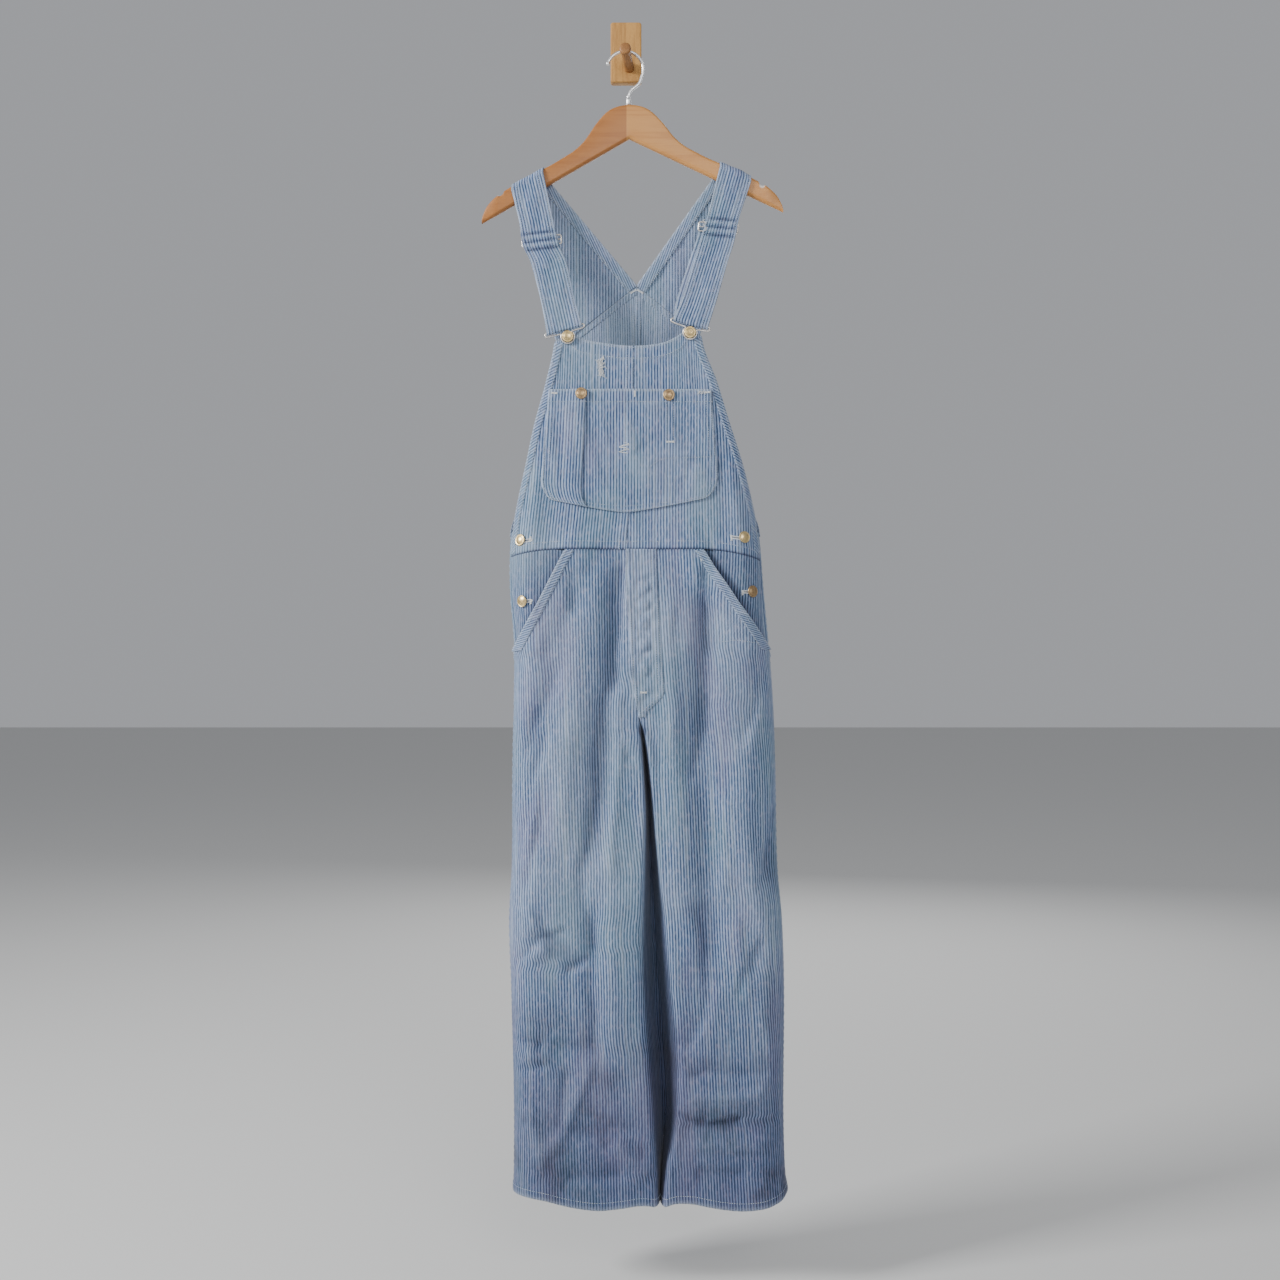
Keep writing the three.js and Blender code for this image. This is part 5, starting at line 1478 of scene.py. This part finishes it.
for name, half in SIDES.items():
    for c in (2.5, band_width - 2.5):
        z = np.linspace(WAIST_Z - 3, slash[name][2] - 2, 60)
        x = slash_x(name, z) - half * c
        row = on_cloth(half, "front", x, z)
        row[:, 1] -= lift_at(name, x, z) + 1.9
        body_rows.append(row)
    z = np.linspace(bib_corner(name) - 4, WAIST_Z - 6, 110)
    for c in (0.05, 0.165):
        row = on_panel(half, "front", open_edge(half, "front")(z) + c, z)
        angle = (open_edge(half, "front")(z) + c) * math.pi / 2
        rise = lift_at(name, row[:, 0], z) + 1.75
        row[:, 0] += half * np.cos(angle) * rise
        row[:, 1] -= np.sin(angle) * rise
        body_rows.append(row)
    z = np.linspace(-452, -720, 90)
    for c in (0.05, 0.165):
        angle = section(half, "back", z)["open"] + c * math.pi / 2
        row = on_panel(half, "back", angle / (math.pi / 2), z)
        row[:, 0] += half * np.cos(angle) * 1.9
        row[:, 1] += np.sin(angle) * 1.9
        body_rows.append(row)
    body_rows.append(sewn_row("neck_" + name, "last", 2.5))
    body_rows.append(sewn_row("neck_" + name, "first", 17))

for panel, distance in (("pocket_main", 2.5), ("pocket_main", 18), ("pocket_left", 18)):
    body_rows.append(sewn_row(panel, "top", distance))
for distance in (2.2, 8.5):
    for panel, side in (("pocket_main", "last"), ("pocket_left", "first")):
        body_rows.append(sewn_row(panel, side, distance, below(pocket_top - 2)))
        body_rows.append(sewn_row(panel, "bottom", distance))
for line in (
    [(59.5, -534), (59.5, -588)],
    [(69.5, -534), (69.5, -675)],
    [(34, -632), (36, -624), (46, -616), (58, -612), (120, -610)],
):
    body_rows.append(laid_row("pocket_main", line))
body_rows.append(sewn_row("fly", "last", 2.5))
body_rows.append(sewn_row("fly", "last", 8.5, below(-760)))
body_rows.append(sewn_row("fly", "first", 2.5))
body_rows.append(laid_row("front_leg_right", [(140, -876), (160, -874), (196, -879)]))

strap_rows_sewn = []
for name in SIDES:
    for side in ("first", "last"):
        for distance in (2.6, 8.6):
            strap_rows_sewn.append(sewn_row("strap_" + name, side, distance))
stitch_piece("stitches_body", body_rows, 3)
stitch_piece("stitches_legs", leg_rows_sewn, 5)
stitch_piece("stitches_straps", strap_rows_sewn, 9)

# %% [markdown]
# ## Seams inside the back
# Through the neck one sees the inside of the back: the two sloping yoke seams that meet
# under the straps, and the centre seam running down from there. Each is a folded strip
# lying on the inner face.

# %% Inner seam strips
def inner_strip(name, points, flat):
    far = edge_distances(points)
    wear = 0.5 + 0.3 * np.maximum(rub(far["first"], 1.5, 0.7), rub(far["last"], 1.5, 0.4))
    high = CLOTH + 0.45 + pucker(far["last"] - 3, far["top"], len(name), 0.25, 8, 9)
    piece = cloth_shell(name, points, FRONT, high, CLOTH - 0.2, striped, points[..., ::2], wear)
    finish_strip(piece, flat, "back_left_cloth", "back_right_cloth")
    panels[name] = (points, high)


c_strip = np.linspace(0, 1, 6)[None, :]
for name, half in SIDES.items():
    x = YOKE_TOP[0] + half * (0.6 + 84 * np.linspace(0, 1, 50)[:, None]) + 0 * c_strip
    points = on_cloth(half, "back", x, yoke_line(x) - 1 - 11 * c_strip)
    inner_strip("yoke_strip_" + name, points, (0.011, 0.092))
z = np.linspace(-364, -935, 180)[:, None]  # from below the yoke point to inside the crotch
x = column(halves, "back", z) + 0.5 + 10 * c_strip
inner_strip("centre_back_strip", on_cloth(1, "back", x, z), (0.01, 0.58))

inner_rows = []
for name in ("yoke_strip_left", "yoke_strip_right", "centre_back_strip"):
    for distance in (1.8, 8.4):
        inner_rows.append(sewn_row(name, "first", distance))
stitch_piece("stitches_inside", inner_rows, 13, width=0.5)

# %% [markdown]
# ## Bar tacks, buttonholes and frays
# Places that take strain are closed with bar tacks, dense rows of short threads. The
# buttonholes are edged the same way round a narrow slot. The old hole in the bib has worn
# through, so loose threads stand out of it, and one worn spot on the pocket is darned.

# %% Tacks and holes
def turned(x, z, along, off, turn):
    """Place at the given distances along and off a line through x, z."""
    return (
        x + along * math.cos(turn) - off * math.sin(turn),
        z + along * math.sin(turn) + off * math.cos(turn),
    )


def zigzag(centre_line, width, pitch=0.8):
    """Zigzag in x, z across a line, as satin stitches lie."""
    line = np.array(centre_line, float)
    lengths = np.concatenate([[0], np.cumsum(np.hypot(*np.diff(line, axis=0).T))])
    count = max(4, int(lengths[-1] / pitch))
    at = np.linspace(0, lengths[-1], count)
    x = np.interp(at, lengths, line[:, 0])
    z = np.interp(at, lengths, line[:, 1])
    dx = np.gradient(x)
    dz = np.gradient(z)
    size = np.hypot(dx, dz)
    side = np.where(np.arange(count) % 2 == 0, 0.5, -0.5) * width
    return list(zip(x - dz / size * side, z + dx / size * side))


def slot_loop(x, z, length, angle):
    """Rounded loop round a buttonhole of the given length."""
    turn = math.radians(angle)
    loop = []
    for k in range(25):
        a = 2 * math.pi * k / 24
        along = (length / 2 - 1.2) * (1 if math.cos(a) > 0 else -1) + 1.6 * math.cos(a)
        off = 1.6 * math.sin(a)
        loop.append(turned(x, z, along, off, turn))
    return loop


# panel, middle x and z, length and angle of each bar tack, then of each buttonhole
tacks = [
    ("pocket_main", 13.5, -518, 9, 92), ("pocket_main", 64.5, -588, 12, 0), ("fly", 26, -949, 9, 0),
    ("bib_left", -137, -729, 8, 80), ("bib_right", 152, -727, 8, 95), ("front_leg_left", -83, -757, 8, 70),
    ("front_leg_right", 108, -757, 8, 110), ("pocket_main", 118, -516, 9, 4),
    ("pocket_left", -103, -517, 9, 176), ("yoke_strip_right", 21, -357, 10, -30),
    ("yoke_strip_left", 11, -357, 10, 30), ("pocket_facing_left", -136, -819, 7, 90),
    ("pocket_facing_right", 168, -806, 7, 90),
]
old_hole_x, old_hole_z = -35.7, -479
holes = [
    ("bib_left", old_hole_x, old_hole_z, 24, 88), ("bib_left", -143, -731, 17, 8),
    ("bib_right", 160, -727, 17, -8), ("pocket_facing_left", -141, -818, 14, 6),
    ("pocket_facing_right", 175, -805, 14, -6),
]
tack_rows = []
for name, x, z, length, angle in tacks:
    run_x = math.cos(math.radians(angle)) * length / 2
    run_z = math.sin(math.radians(angle)) * length / 2
    line = zigzag([(x - run_x, z - run_z), (x + run_x, z + run_z)], 2.4, 0.6)
    tack_rows.append(laid_row(name, line, 0.3))
for name, x, z, length, angle in holes:
    tack_rows.append(laid_row(name, zigzag(slot_loop(x, z, length, angle), 1.6, 0.7), 0.25))
darn = [(-2 + 7 * math.sin(k * 1.9), -598 - 0.7 * (k - 10) + 2 * math.cos(k * 1.3)) for k in range(20)]
tack_rows.append(laid_row("pocket_main", darn, 0.3))

rng = np.random.default_rng(4)
fray_rows = []
for k in range(40):  # round the old hole
    start = np.array([old_hole_x + rng.uniform(-2.2, 2.2), old_hole_z + rng.uniform(-14, 14)])
    lean = rng.uniform(-1, 1) * 1.6
    path = [
        start + (lean * t + 0.7 * math.sin(t * 1.7 + k), rng.uniform(-0.9, 0.9) * t)
        for t in range(5)
    ]
    fray_rows.append(laid_row("bib_left", path, 0.5 + rng.uniform(0, 0.9)))
for k in range(12):  # at the pocket's worn corner
    start = np.array([104 + 0.9 * k, -514.5 + rng.uniform(-1, 1)])
    path = [start + (0.8 * math.sin(t + k), -1.2 * t) for t in range(4)]
    fray_rows.append(laid_row("pocket_main", path, 0.4 + rng.uniform(0, 0.5)))
for k in range(11):  # at the worn edge of one strap
    start = np.array([115 + rng.uniform(-3, 3), -262 - 1.7 * k])
    path = [start + (rng.uniform(-1, 1) * t, 1.1 * math.sin(t * 1.4 + k)) for t in range(4)]
    fray_rows.append(laid_row("front_of_strap_right", path, 0.5 + rng.uniform(0, 0.6)))


def mottled_material(name, scale, first, second, roughness):
    """Plain finish whose colour wanders between two."""
    made, tree, shader = fresh_material(name)
    spots = noise(tree, place_on(tree), scale, 2)
    tree.links.new(mix(tree, spots, first, second), shader.inputs["Base Color"])
    shader.inputs["Roughness"].default_value = roughness
    return made


white_thread = mottled_material("frayed_thread", 500, (0.58, 0.62, 0.66, 1), (0.86, 0.86, 0.84, 1), 0.9)
stitch_piece("bar_tacks", tack_rows, 21, 1.2, 2.0, 0.8, white_thread)
stitch_piece("frayed_threads", fray_rows, 22, 0.9, 1.5, 0.6, white_thread)

slot_dark = mottled_material("slot_shadow", 900, (0.02, 0.03, 0.05, 1), (0.10, 0.13, 0.19, 1), 0.95)
for k, (name, x, z, length, angle) in enumerate(holes):
    t = np.linspace(-0.5, 0.5, 12)[:, None] * (length - 2)
    open_width = 1.1 if k else 2.6  # the old hole gapes
    w = np.linspace(-0.5, 0.5, 3)[None, :] * open_width * np.cos(t / length * math.pi * 0.9)
    line_x, line_z = turned(x, z, t, w, math.radians(angle))
    skin = surface(name).reshape(-1, 3)
    depth = [
        skin[np.argmin((skin[:, 0] - a) ** 2 + (skin[:, 2] - b) ** 2), 1] - 0.12
        for a, b in zip(line_x.ravel(), line_z.ravel())
    ]
    points = np.stack([line_x, np.array(depth).reshape(line_x.shape), line_z], axis=-1)
    piece = cloth_shell("hole_" + str(k), points, FRONT, 0.1, -0.1, slot_dark, points[..., :2] * 0, 0)
    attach(piece, "root")

# %% [markdown]
# ## Metal and wood finishes
# The buttons are brass that has dulled in places, the pocket's and one side button more
# than the others. Slides and buckles are nickelled wire, and the hook is bright steel. The
# hanger is reddish wood under thin varnish, the block is of a like wood left bare, and the
# peg is darker. Wood grain is a noise stretched along the trunk, so a mapping squeezes the
# other two directions.

# %% Metal
def metal_material(name, colour, dull_colour, roughness, dull_from, dull_to):
    made, tree, shader = fresh_material(name)
    where = place_on(tree)
    spots = noise(tree, where, 240, 4, 0.6)
    dull = ramp(tree, spots, dull_from, dull_to)
    tree.links.new(mix(tree, dull, colour, dull_colour), shader.inputs["Base Color"])
    tree.links.new(ramp(tree, spots, 0.3, 0.7, roughness, roughness + 0.25), shader.inputs["Roughness"])
    scratches = noise(tree, stretched(tree, where, (1.0, 1.0, 0.3)), 1500, 2)
    bump = node(tree, "ShaderNodeBump", {"Height": scratches, "Distance": 0.0001, "Strength": 0.4})
    tree.links.new(bump.outputs[0], shader.inputs["Normal"])
    shader.inputs["Metallic"].default_value = 1.0
    return made


brass = metal_material("button_brass", (0.78, 0.60, 0.30, 1), (0.36, 0.25, 0.13, 1), 0.28, 0.45, 0.75)
bronze = metal_material("button_bronze", (0.52, 0.36, 0.19, 1), (0.24, 0.15, 0.09, 1), 0.32, 0.42, 0.7)
nickel = metal_material("buckle_wire", (0.70, 0.67, 0.64, 1), (0.32, 0.28, 0.26, 1), 0.25, 0.5, 0.8)
steel = metal_material("hook_wire", (0.90, 0.90, 0.90, 1), (0.66, 0.67, 0.69, 1), 0.22, 0.6, 0.95)

# %% Wood
wood_group, given = shader_group("wood grain", [
    ("Pale wood", "Color", (0.60, 0.38, 0.20, 1)),
    ("Dark wood", "Color", (0.34, 0.17, 0.07, 1)),
    ("Stretch", "Vector", (1, 1, 1)),
], [("Color", "Color"), ("Height", "Float")])

g = wood_group
along = stretched(g, place_on(g), given["Stretch"])
bands_of_growth = noise(g, along, 22, 4, 0.55)
fibres = noise(g, along, 190, 3, 0.6)
rings = maths(g, "PINGPONG", maths(g, "MULTIPLY", bands_of_growth, 7.0), 1.0)
growth = maths(g, "MULTIPLY", ramp(g, rings, 0.1, 0.95), 0.3)
shade = maths(g, "ADD", growth, maths(g, "MULTIPLY", fibres, 0.5))
colour = mix(g, ramp(g, shade, 0.2, 0.85), given["Pale wood"], given["Dark wood"])
node(g, "NodeGroupOutput", {"Color": colour, "Height": fibres})


# places in metres where the hanger's colour is made pale, at the groove near each tip
groove_spots = [(-0.1865, -0.051, -0.220), (0.1995, -0.051, -0.2085)]


def wood_material(name, pale, dark, stretch, roughness, coat, is_hanger=False):
    made, tree, shader = fresh_material(name)
    grain_of_wood = node(tree, "ShaderNodeGroup", node_tree=wood_group)
    grain_of_wood.inputs["Pale wood"].default_value = pale
    grain_of_wood.inputs["Dark wood"].default_value = dark
    grain_of_wood.inputs["Stretch"].default_value = stretch
    colour = grain_of_wood.outputs["Color"]
    if is_hanger:  # its left half is a little darker
        where = place_on(tree)
        x = node(tree, "ShaderNodeSeparateXYZ", {0: where}).outputs[0]
        left_half = ramp(tree, x, 0.0015, 0.0005)
        colour = mix(tree, left_half, colour, (0.68, 0.57, 0.48, 1), "MULTIPLY")
        for spot in groove_spots:
            away = node(tree, "ShaderNodeVectorMath", {0: where, 1: spot}, operation="DISTANCE")
            near = ramp(tree, away.outputs["Value"], 0.0055, 0.002)
            colour = mix(tree, near, colour, (0.84, 0.80, 0.76, 1))
    tree.links.new(colour, shader.inputs["Base Color"])
    fibres_up = grain_of_wood.outputs["Height"]
    bump = node(tree, "ShaderNodeBump", {"Height": fibres_up, "Distance": 0.0003, "Strength": 0.35})
    tree.links.new(bump.outputs[0], shader.inputs["Normal"])
    shader.inputs["Roughness"].default_value = roughness
    shader.inputs["Coat Weight"].default_value = coat
    shader.inputs["Coat Roughness"].default_value = 0.2
    return made


hanger_wood = wood_material(
    "hanger_wood", (0.58, 0.265, 0.07, 1), (0.47, 0.19, 0.042, 1), (0.22, 3.0, 3.0), 0.45, 0.15, True,
)
block_wood = wood_material(
    "block_wood", (0.55, 0.285, 0.075, 1), (0.34, 0.15, 0.035, 1), (3.2, 3.2, 0.3), 0.65, 0.0,
)
peg_wood = wood_material(
    "peg_wood", (0.33, 0.145, 0.04, 1), (0.20, 0.08, 0.02, 1), (3.0, 0.5, 3.0), 0.55, 0.05,
)
print("metals and woods ready")

# %% [markdown]
# ## Rings, tubes and turned pieces
# The hard pieces are closed skins through rings of points. A wire is such a skin along a
# smooth route, a turned piece is one round an axis, and the hanger is one from tip to tip.

# %% Helpers for hard pieces
def ring_skin(name, rings, material):
    rings = np.asarray(rings, float)
    count, sides = rings.shape[:2]
    ids = np.arange(count * sides).reshape(count, sides)
    after = np.roll(ids, -1, axis=1)
    quads = np.stack([ids[:-1], after[:-1], after[1:], ids[1:]], axis=-1).reshape(-1, 4)
    first, last = count * sides, count * sides + 1
    vertices = np.concatenate([rings.reshape(-1, 3), [rings[0].mean(axis=0)], [rings[-1].mean(axis=0)]])
    made = bpy.data.meshes.new(name)
    faces = quads.tolist()
    faces += [(first, int(after[0, k]), int(ids[0, k])) for k in range(sides)]
    faces += [(last, int(ids[-1, k]), int(after[-1, k])) for k in range(sides)]
    made.from_pydata((vertices * MM).tolist(), [], faces)
    shaped = bmesh.new()
    shaped.from_mesh(made)
    bmesh.ops.recalc_face_normals(shaped, faces=shaped.faces)
    shaped.to_mesh(made)
    shaped.free()
    made.polygons.foreach_set("use_smooth", [True] * len(made.polygons))
    made.materials.append(material)
    return linked(name, made)


def stand_for(piece, slot_name, *node_names):
    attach(piece, "root")
    if node_names:
        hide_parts(*node_names)
    return piece


def smooth_route(points, step=1.2):
    points = np.asarray(points, float)
    places = run_lengths(points)
    count = max(8, int(places[-1] / step))
    return dense_lines(points, places, np.linspace(0, places[-1], count))


def tube_rings(route, radius, sides=12):
    """Rings square to a route, carried along it without a twist."""
    radius = np.broadcast_to(radius, len(route))
    tangent = np.gradient(route, axis=0)
    tangent /= np.linalg.norm(tangent, axis=1, keepdims=True)
    side = np.cross(tangent[0], (0.31, 0.9, 0.17))
    rings = []
    for place, forward, r in zip(route, tangent, radius):
        side = side - forward * np.dot(side, forward)
        side /= np.linalg.norm(side)
        up = np.cross(forward, side)
        angles = np.linspace(0, 2 * math.pi, sides, endpoint=False)[:, None]
        rings.append(place + r * (np.cos(angles) * side + np.sin(angles) * up))
    return np.array(rings)


def turned_rings(profile, foot, axis, sides=40):
    """Rings of a turned piece from its profile of radius and height."""
    axis = np.asarray(axis, float) / np.linalg.norm(axis)
    side = np.cross(axis, (0.13, 0.2, 0.97))
    side /= np.linalg.norm(side)
    up = np.cross(axis, side)
    angles = np.linspace(0, 2 * math.pi, sides, endpoint=False)[:, None]
    return np.array([
        np.asarray(foot) + axis * h + max(r, 0.02) * (np.cos(angles) * side + np.sin(angles) * up)
        for r, h in profile
    ])

# %% [markdown]
# ## Hanger
# The hanger is cut from a board, sanded round and varnished. Its top follows a rounded
# shoulder line and its underside runs straight, and a small groove near each tip keeps
# loops from slipping. The rings lie close together at the grooves and the tips.

# %% Hanger
def hanger_rings():
    stations = np.concatenate([
        np.linspace(0, 184, 62), np.linspace(185.5, 197, 16), np.linspace(199, 216, 12),
        [218, 219.6, 220.6, 221],
    ])
    stations = np.concatenate([-stations[:0:-1], stations])
    rings = []
    for x in stations:
        out = abs(x)
        top = float(column(hanger_edge, "z", out, key="x"))
        bottom = -49.8 + (-163 + 49.8) / 216 * out
        in_groove = 4.5**2 - (out - 191) ** 2
        groove = max(0.0, math.sqrt(in_groove) - 1) if in_groove > 0 else 0.0
        half_thick = hanger_half - 3 * float(smooth(195, 221, out))
        round_edge = max(min(5.0, (top - groove - bottom) / 2 - 0.2), 0.3)
        flat = max(half_thick - round_edge, 0.2)
        high = top - groove
        ring = []
        for y_side, z_edge, inward, start in (
            (1, high, -1, 0), (-1, high, -1, 90), (-1, bottom, 1, 180), (1, bottom, 1, 270),
        ):
            for k in range(7):
                angle = math.radians(start + 15 * k)
                y = y_side * flat + (half_thick - flat) * math.cos(angle)
                ring.append((x, y, z_edge + inward * round_edge + round_edge * math.sin(angle)))
        rings.append(ring)
    rings = np.array(rings)
    x, y, z = rings[..., 0], rings[..., 1], rings[..., 2]
    tilted_x, tilted_z = turned(0, 0, x, z, hanger_tilt)
    return np.stack([tilted_x, y, tilted_z], axis=-1) + hanger_top


hanger = stand_for(ring_skin("hanger_board", hanger_rings(), hanger_wood), "hanger_wood", "hanger")
print("hanger faces:", len(hanger.data.polygons))

# %% [markdown]
# ## Wall block and peg
# The block is a small sawn board with softened corners. The peg is turned, a little
# thicker at its head, and leans up so that the hook can't slide off.

# %% Wall block and peg
def block_ring(y, grow):
    radius = 4 + grow
    ring = []
    for corner_x, corner_z, start in ((19, 40.5, 0), (-19, 40.5, 90), (-19, -40.5, 180), (19, -40.5, 270)):
        for k in range(8):
            angle = math.radians(start + 90 * k / 7)
            ring.append((corner_x + radius * math.cos(angle), y, corner_z + radius * math.sin(angle)))
    return ring


block_rings = [block_ring(0, -0.6), block_ring(-0.5, 0), block_ring(-13.8, 0)]
for k in range(1, 7):
    angle = math.radians(15 * k)
    block_rings.append(block_ring(-13.8 - 2.2 * math.sin(angle), -2.2 * (1 - math.cos(angle))))
stand_for(ring_skin("wall_block_board", block_rings, block_wood), "block_wood", "wall_block")

peg_root = np.array([5.0, -16.0, -24.0])
peg_line = np.array([-1.0, -76.0, -17.0]) - peg_root
peg_length = float(np.linalg.norm(peg_line))
peg_radius = 7.2
peg_profile = [(0, -1.2), (peg_radius, -1.2), (peg_radius, 3)]
for t in np.linspace(0.1, 1, 12):
    peg_profile.append((peg_radius - 0.25 * math.sin(math.pi * t), 3 + (peg_length - 15) * t))
for radius, from_end in (
    (7.7, -9.5), (8.4, -7), (8.6, -5), (8.6, -2.6), (8.2, -1.3), (7.2, -0.4), (5.6, 0), (0, 0.3),
):
    peg_profile.append((radius, peg_length + from_end))
peg = ring_skin("wall_peg_turned", turned_rings(peg_profile, peg_root, peg_line, 36), peg_wood)
stand_for(peg, "peg_wood", "wall_peg")

# %% [markdown]
# ## Hook
# The hook is one steel wire. It ends in a small ball so that it can't scratch, bends
# round the peg and runs down into a short pressed sleeve on the hanger.

# %% Hook
bend = 26.5
peg_here = peg_root + peg_line * ((peg_root[1] - SIDE_Y) / -peg_line[1])  # under the hook
top_z = peg_here[2] + peg_radius / math.cos(math.atan2(peg_line[2], -peg_line[1])) + 2.4 + 0.7
hook_points = []
for k in range(22):
    angle = math.radians(168 - 186 * k / 21)
    hook_points.append((-1 + bend * math.cos(angle), SIDE_Y, top_z - bend + bend * math.sin(angle)))
foot_x, foot_z = 3.5, -89.8 + 0.4
for x, z in ((19, -58), (foot_x + 3.5, -69), (foot_x + 0.5, -80), (foot_x, foot_z)):
    hook_points.append((x, SIDE_Y, z))
route = smooth_route(hook_points, 1.0)
from_tip = run_lengths(route)
ball = np.sqrt(np.maximum(0, 3.1**2 - (from_tip - 3.0) ** 2))
radius = np.where(from_tip < 6, np.maximum(np.where(from_tip < 3, 0, 2.2), ball), 2.25)
radius[0] = 0.4
hook = ring_skin("hook_wire_bent", tube_rings(route, radius, 16), steel)
stand_for(hook, "hook_wire", "hanger_hook")

# radius and height, from the mouth down, with two pressed rings
sleeve_profile = [
    (2.4, 13.2), (3.0, 13.1), (3.35, 12.7), (3.4, 11.2), (3.15, 10.8), (3.4, 10.4), (3.6, 6.5),
    (3.85, 2.4), (3.6, 2.0), (3.9, 1.6), (4.1, 0.6), (4.1, 0), (2.4, 0),
]
sleeve_rings = turned_rings(sleeve_profile, (foot_x + 0.4, SIDE_Y, foot_z), (0, 0, 1), 28)
stand_for(ring_skin("hook_sleeve", sleeve_rings, steel), "hook_wire")
print("hook wire:", round(float(from_tip[-1])), "mm long")

# %% [markdown]
# ## Slides and buckles
# The slide is a frame of wire with a bar across its middle, held between the layers of
# the strap. The buckle's wire runs through the fold of the strap, closes in on both sides
# and ends in the round eye that hooks over the button.

# %% Slides and buckles
def slide_pieces(name):
    x, y, z, tilt = straps[name]["slide"]
    corners = [(0.3, -6.5), (26.3, -6.5), (27.9, -5.9), (28.5, -4.3)]
    right = corners + [(u, -v) for u, v in corners[:0:-1]]
    left = [(-u, -v) for u, v in corners[1:]] + [(-u, v) for u, v in corners[::-1]]

    def placed(points):
        flat = [turned(x, z, u, v, math.radians(tilt)) for u, v in points]
        return [(place[0], y, place[1]) for place in flat]

    frame_rings = tube_rings(smooth_route(placed(right + left), 0.8), wire_radius)
    bar_line = placed([(-28.3, 0), (-10, 0), (10, 0), (28.3, 0)])
    bar_rings = tube_rings(smooth_route(bar_line, 3), wire_radius * 0.9)
    stand_for(ring_skin("slide_frame_" + name, frame_rings, nickel), "buckle_wire", "slide_" + name)
    stand_for(ring_skin("slide_bar_" + name, bar_rings, nickel), "buckle_wire")


eye_radius = 9.8  # clear of the button's rolled rim


def buckle_piece(name):
    outer_x, outer_z, inner_x, inner_z, y = straps[name]["bar"]
    button_x, button_z = straps[name]["button"]
    outer = np.array([outer_x, outer_z], float)
    inner = np.array([inner_x, inner_z], float)
    middle = (outer + inner) / 2
    across = (inner - outer) / np.linalg.norm(inner - outer)
    down = np.array([across[1], -across[0]])
    down = down if down[1] < 0 else -down
    half_bar = float(np.linalg.norm(inner - outer)) / 2
    eye = np.array([button_x, button_z]) - middle
    eye_u, eye_v = float(eye @ across), float(eye @ down)
    places = [(0.3, 0), (half_bar + 1.2, 0), (half_bar + 3.4, 2), (half_bar + 2, 5)]
    for k in range(13):
        angle = math.radians(-35 + 250 * k / 12)
        places.append((eye_u + eye_radius * math.cos(angle), eye_v + eye_radius * math.sin(angle)))
    places += [(-half_bar - 2, 5), (-half_bar - 3.4, 2), (-half_bar - 1.2, 0), (-0.3, 0)]
    flat = [middle + across * u + down * v for u, v in places]
    route = smooth_route([(p[0], y, p[1]) for p in flat], 0.8)
    buckle = ring_skin("buckle_bent_" + name, tube_rings(route, wire_radius), nickel)
    stand_for(buckle, "buckle_wire", "buckle_" + name)


for name in SIDES:
    slide_pieces(name)
    buckle_piece(name)
print("slides and buckles made")

# %% [markdown]
# ## Buttons
# Each button is a pressed brass cap: a rolled rim, a shallow groove inside it and a low
# dome. The cap stands on a short shank. It is turned to the cloth below it, so the side
# buttons look outward.

# %% Buttons
# radius and height of the cap, from the shank round the rim to the middle of the dome
cap_profile = [
    (3, 0), (7.6, 0), (8.35, 0.35), (8.6, 1.0), (8.45, 1.7), (7.95, 2.1), (7.35, 2.15),
    (6.9, 1.85), (6.4, 1.9), (5.2, 2.45), (3.8, 2.95), (2.2, 3.25), (0, 3.4),
]


def button_profile(stand):
    """Profile of a button whose shank holds the cap at the height stand."""
    return [(0, 0), (3, 0)] + [(r, stand + h) for r, h in cap_profile]


def top_of(name, x, z):
    """Place and direction of the cloth's outer face at x, z."""
    skin = surface(name)
    flat = skin.reshape(-1, 3)
    near = np.argsort((flat[:, 0] - x) ** 2 + (flat[:, 2] - z) ** 2)[:9]
    direction = normals_of(skin, FRONT).reshape(-1, 3)[near].mean(axis=0)
    return flat[near].mean(axis=0) * (0, 1, 0) + (x, 0, z), direction / np.linalg.norm(direction)


for name in SIDES:
    x, z = straps[name]["button"]
    seat, _ = top_of("bib_" + name, x, z)
    stand = float(seat[1]) - straps[name]["bar"][4] + wire_radius + 0.4
    rings = turned_rings(button_profile(stand), seat + (0, 0.3, 0), (0, -1, 0))
    stand_for(ring_skin("bib_button_cap_" + name, rings, brass), "button_brass", "bib_button_" + name)

other_buttons = [
    ("pocket_button_left", "pocket_left", -64, -518, bronze),
    ("pocket_button_right", "pocket_main", 62.5, -520, bronze),
    ("side_button_left_top", "bib_left", -151, -730, brass),
    ("side_button_left_low", "pocket_facing_left", -148, -818, brass),
    ("side_button_right_top", "bib_right", 170.5, -726, brass),
    ("side_button_right_low", "pocket_facing_right", 182, -804, bronze),
]
for name, panel, x, z, finish in other_buttons:
    seat, direction = top_of(panel, x, z)
    rings = turned_rings(button_profile(1.0), seat - direction * 0.4, direction)
    stand_for(ring_skin(name + "_cap", rings, finish), "button_brass", name)
print("buttons made:", 2 + len(other_buttons))
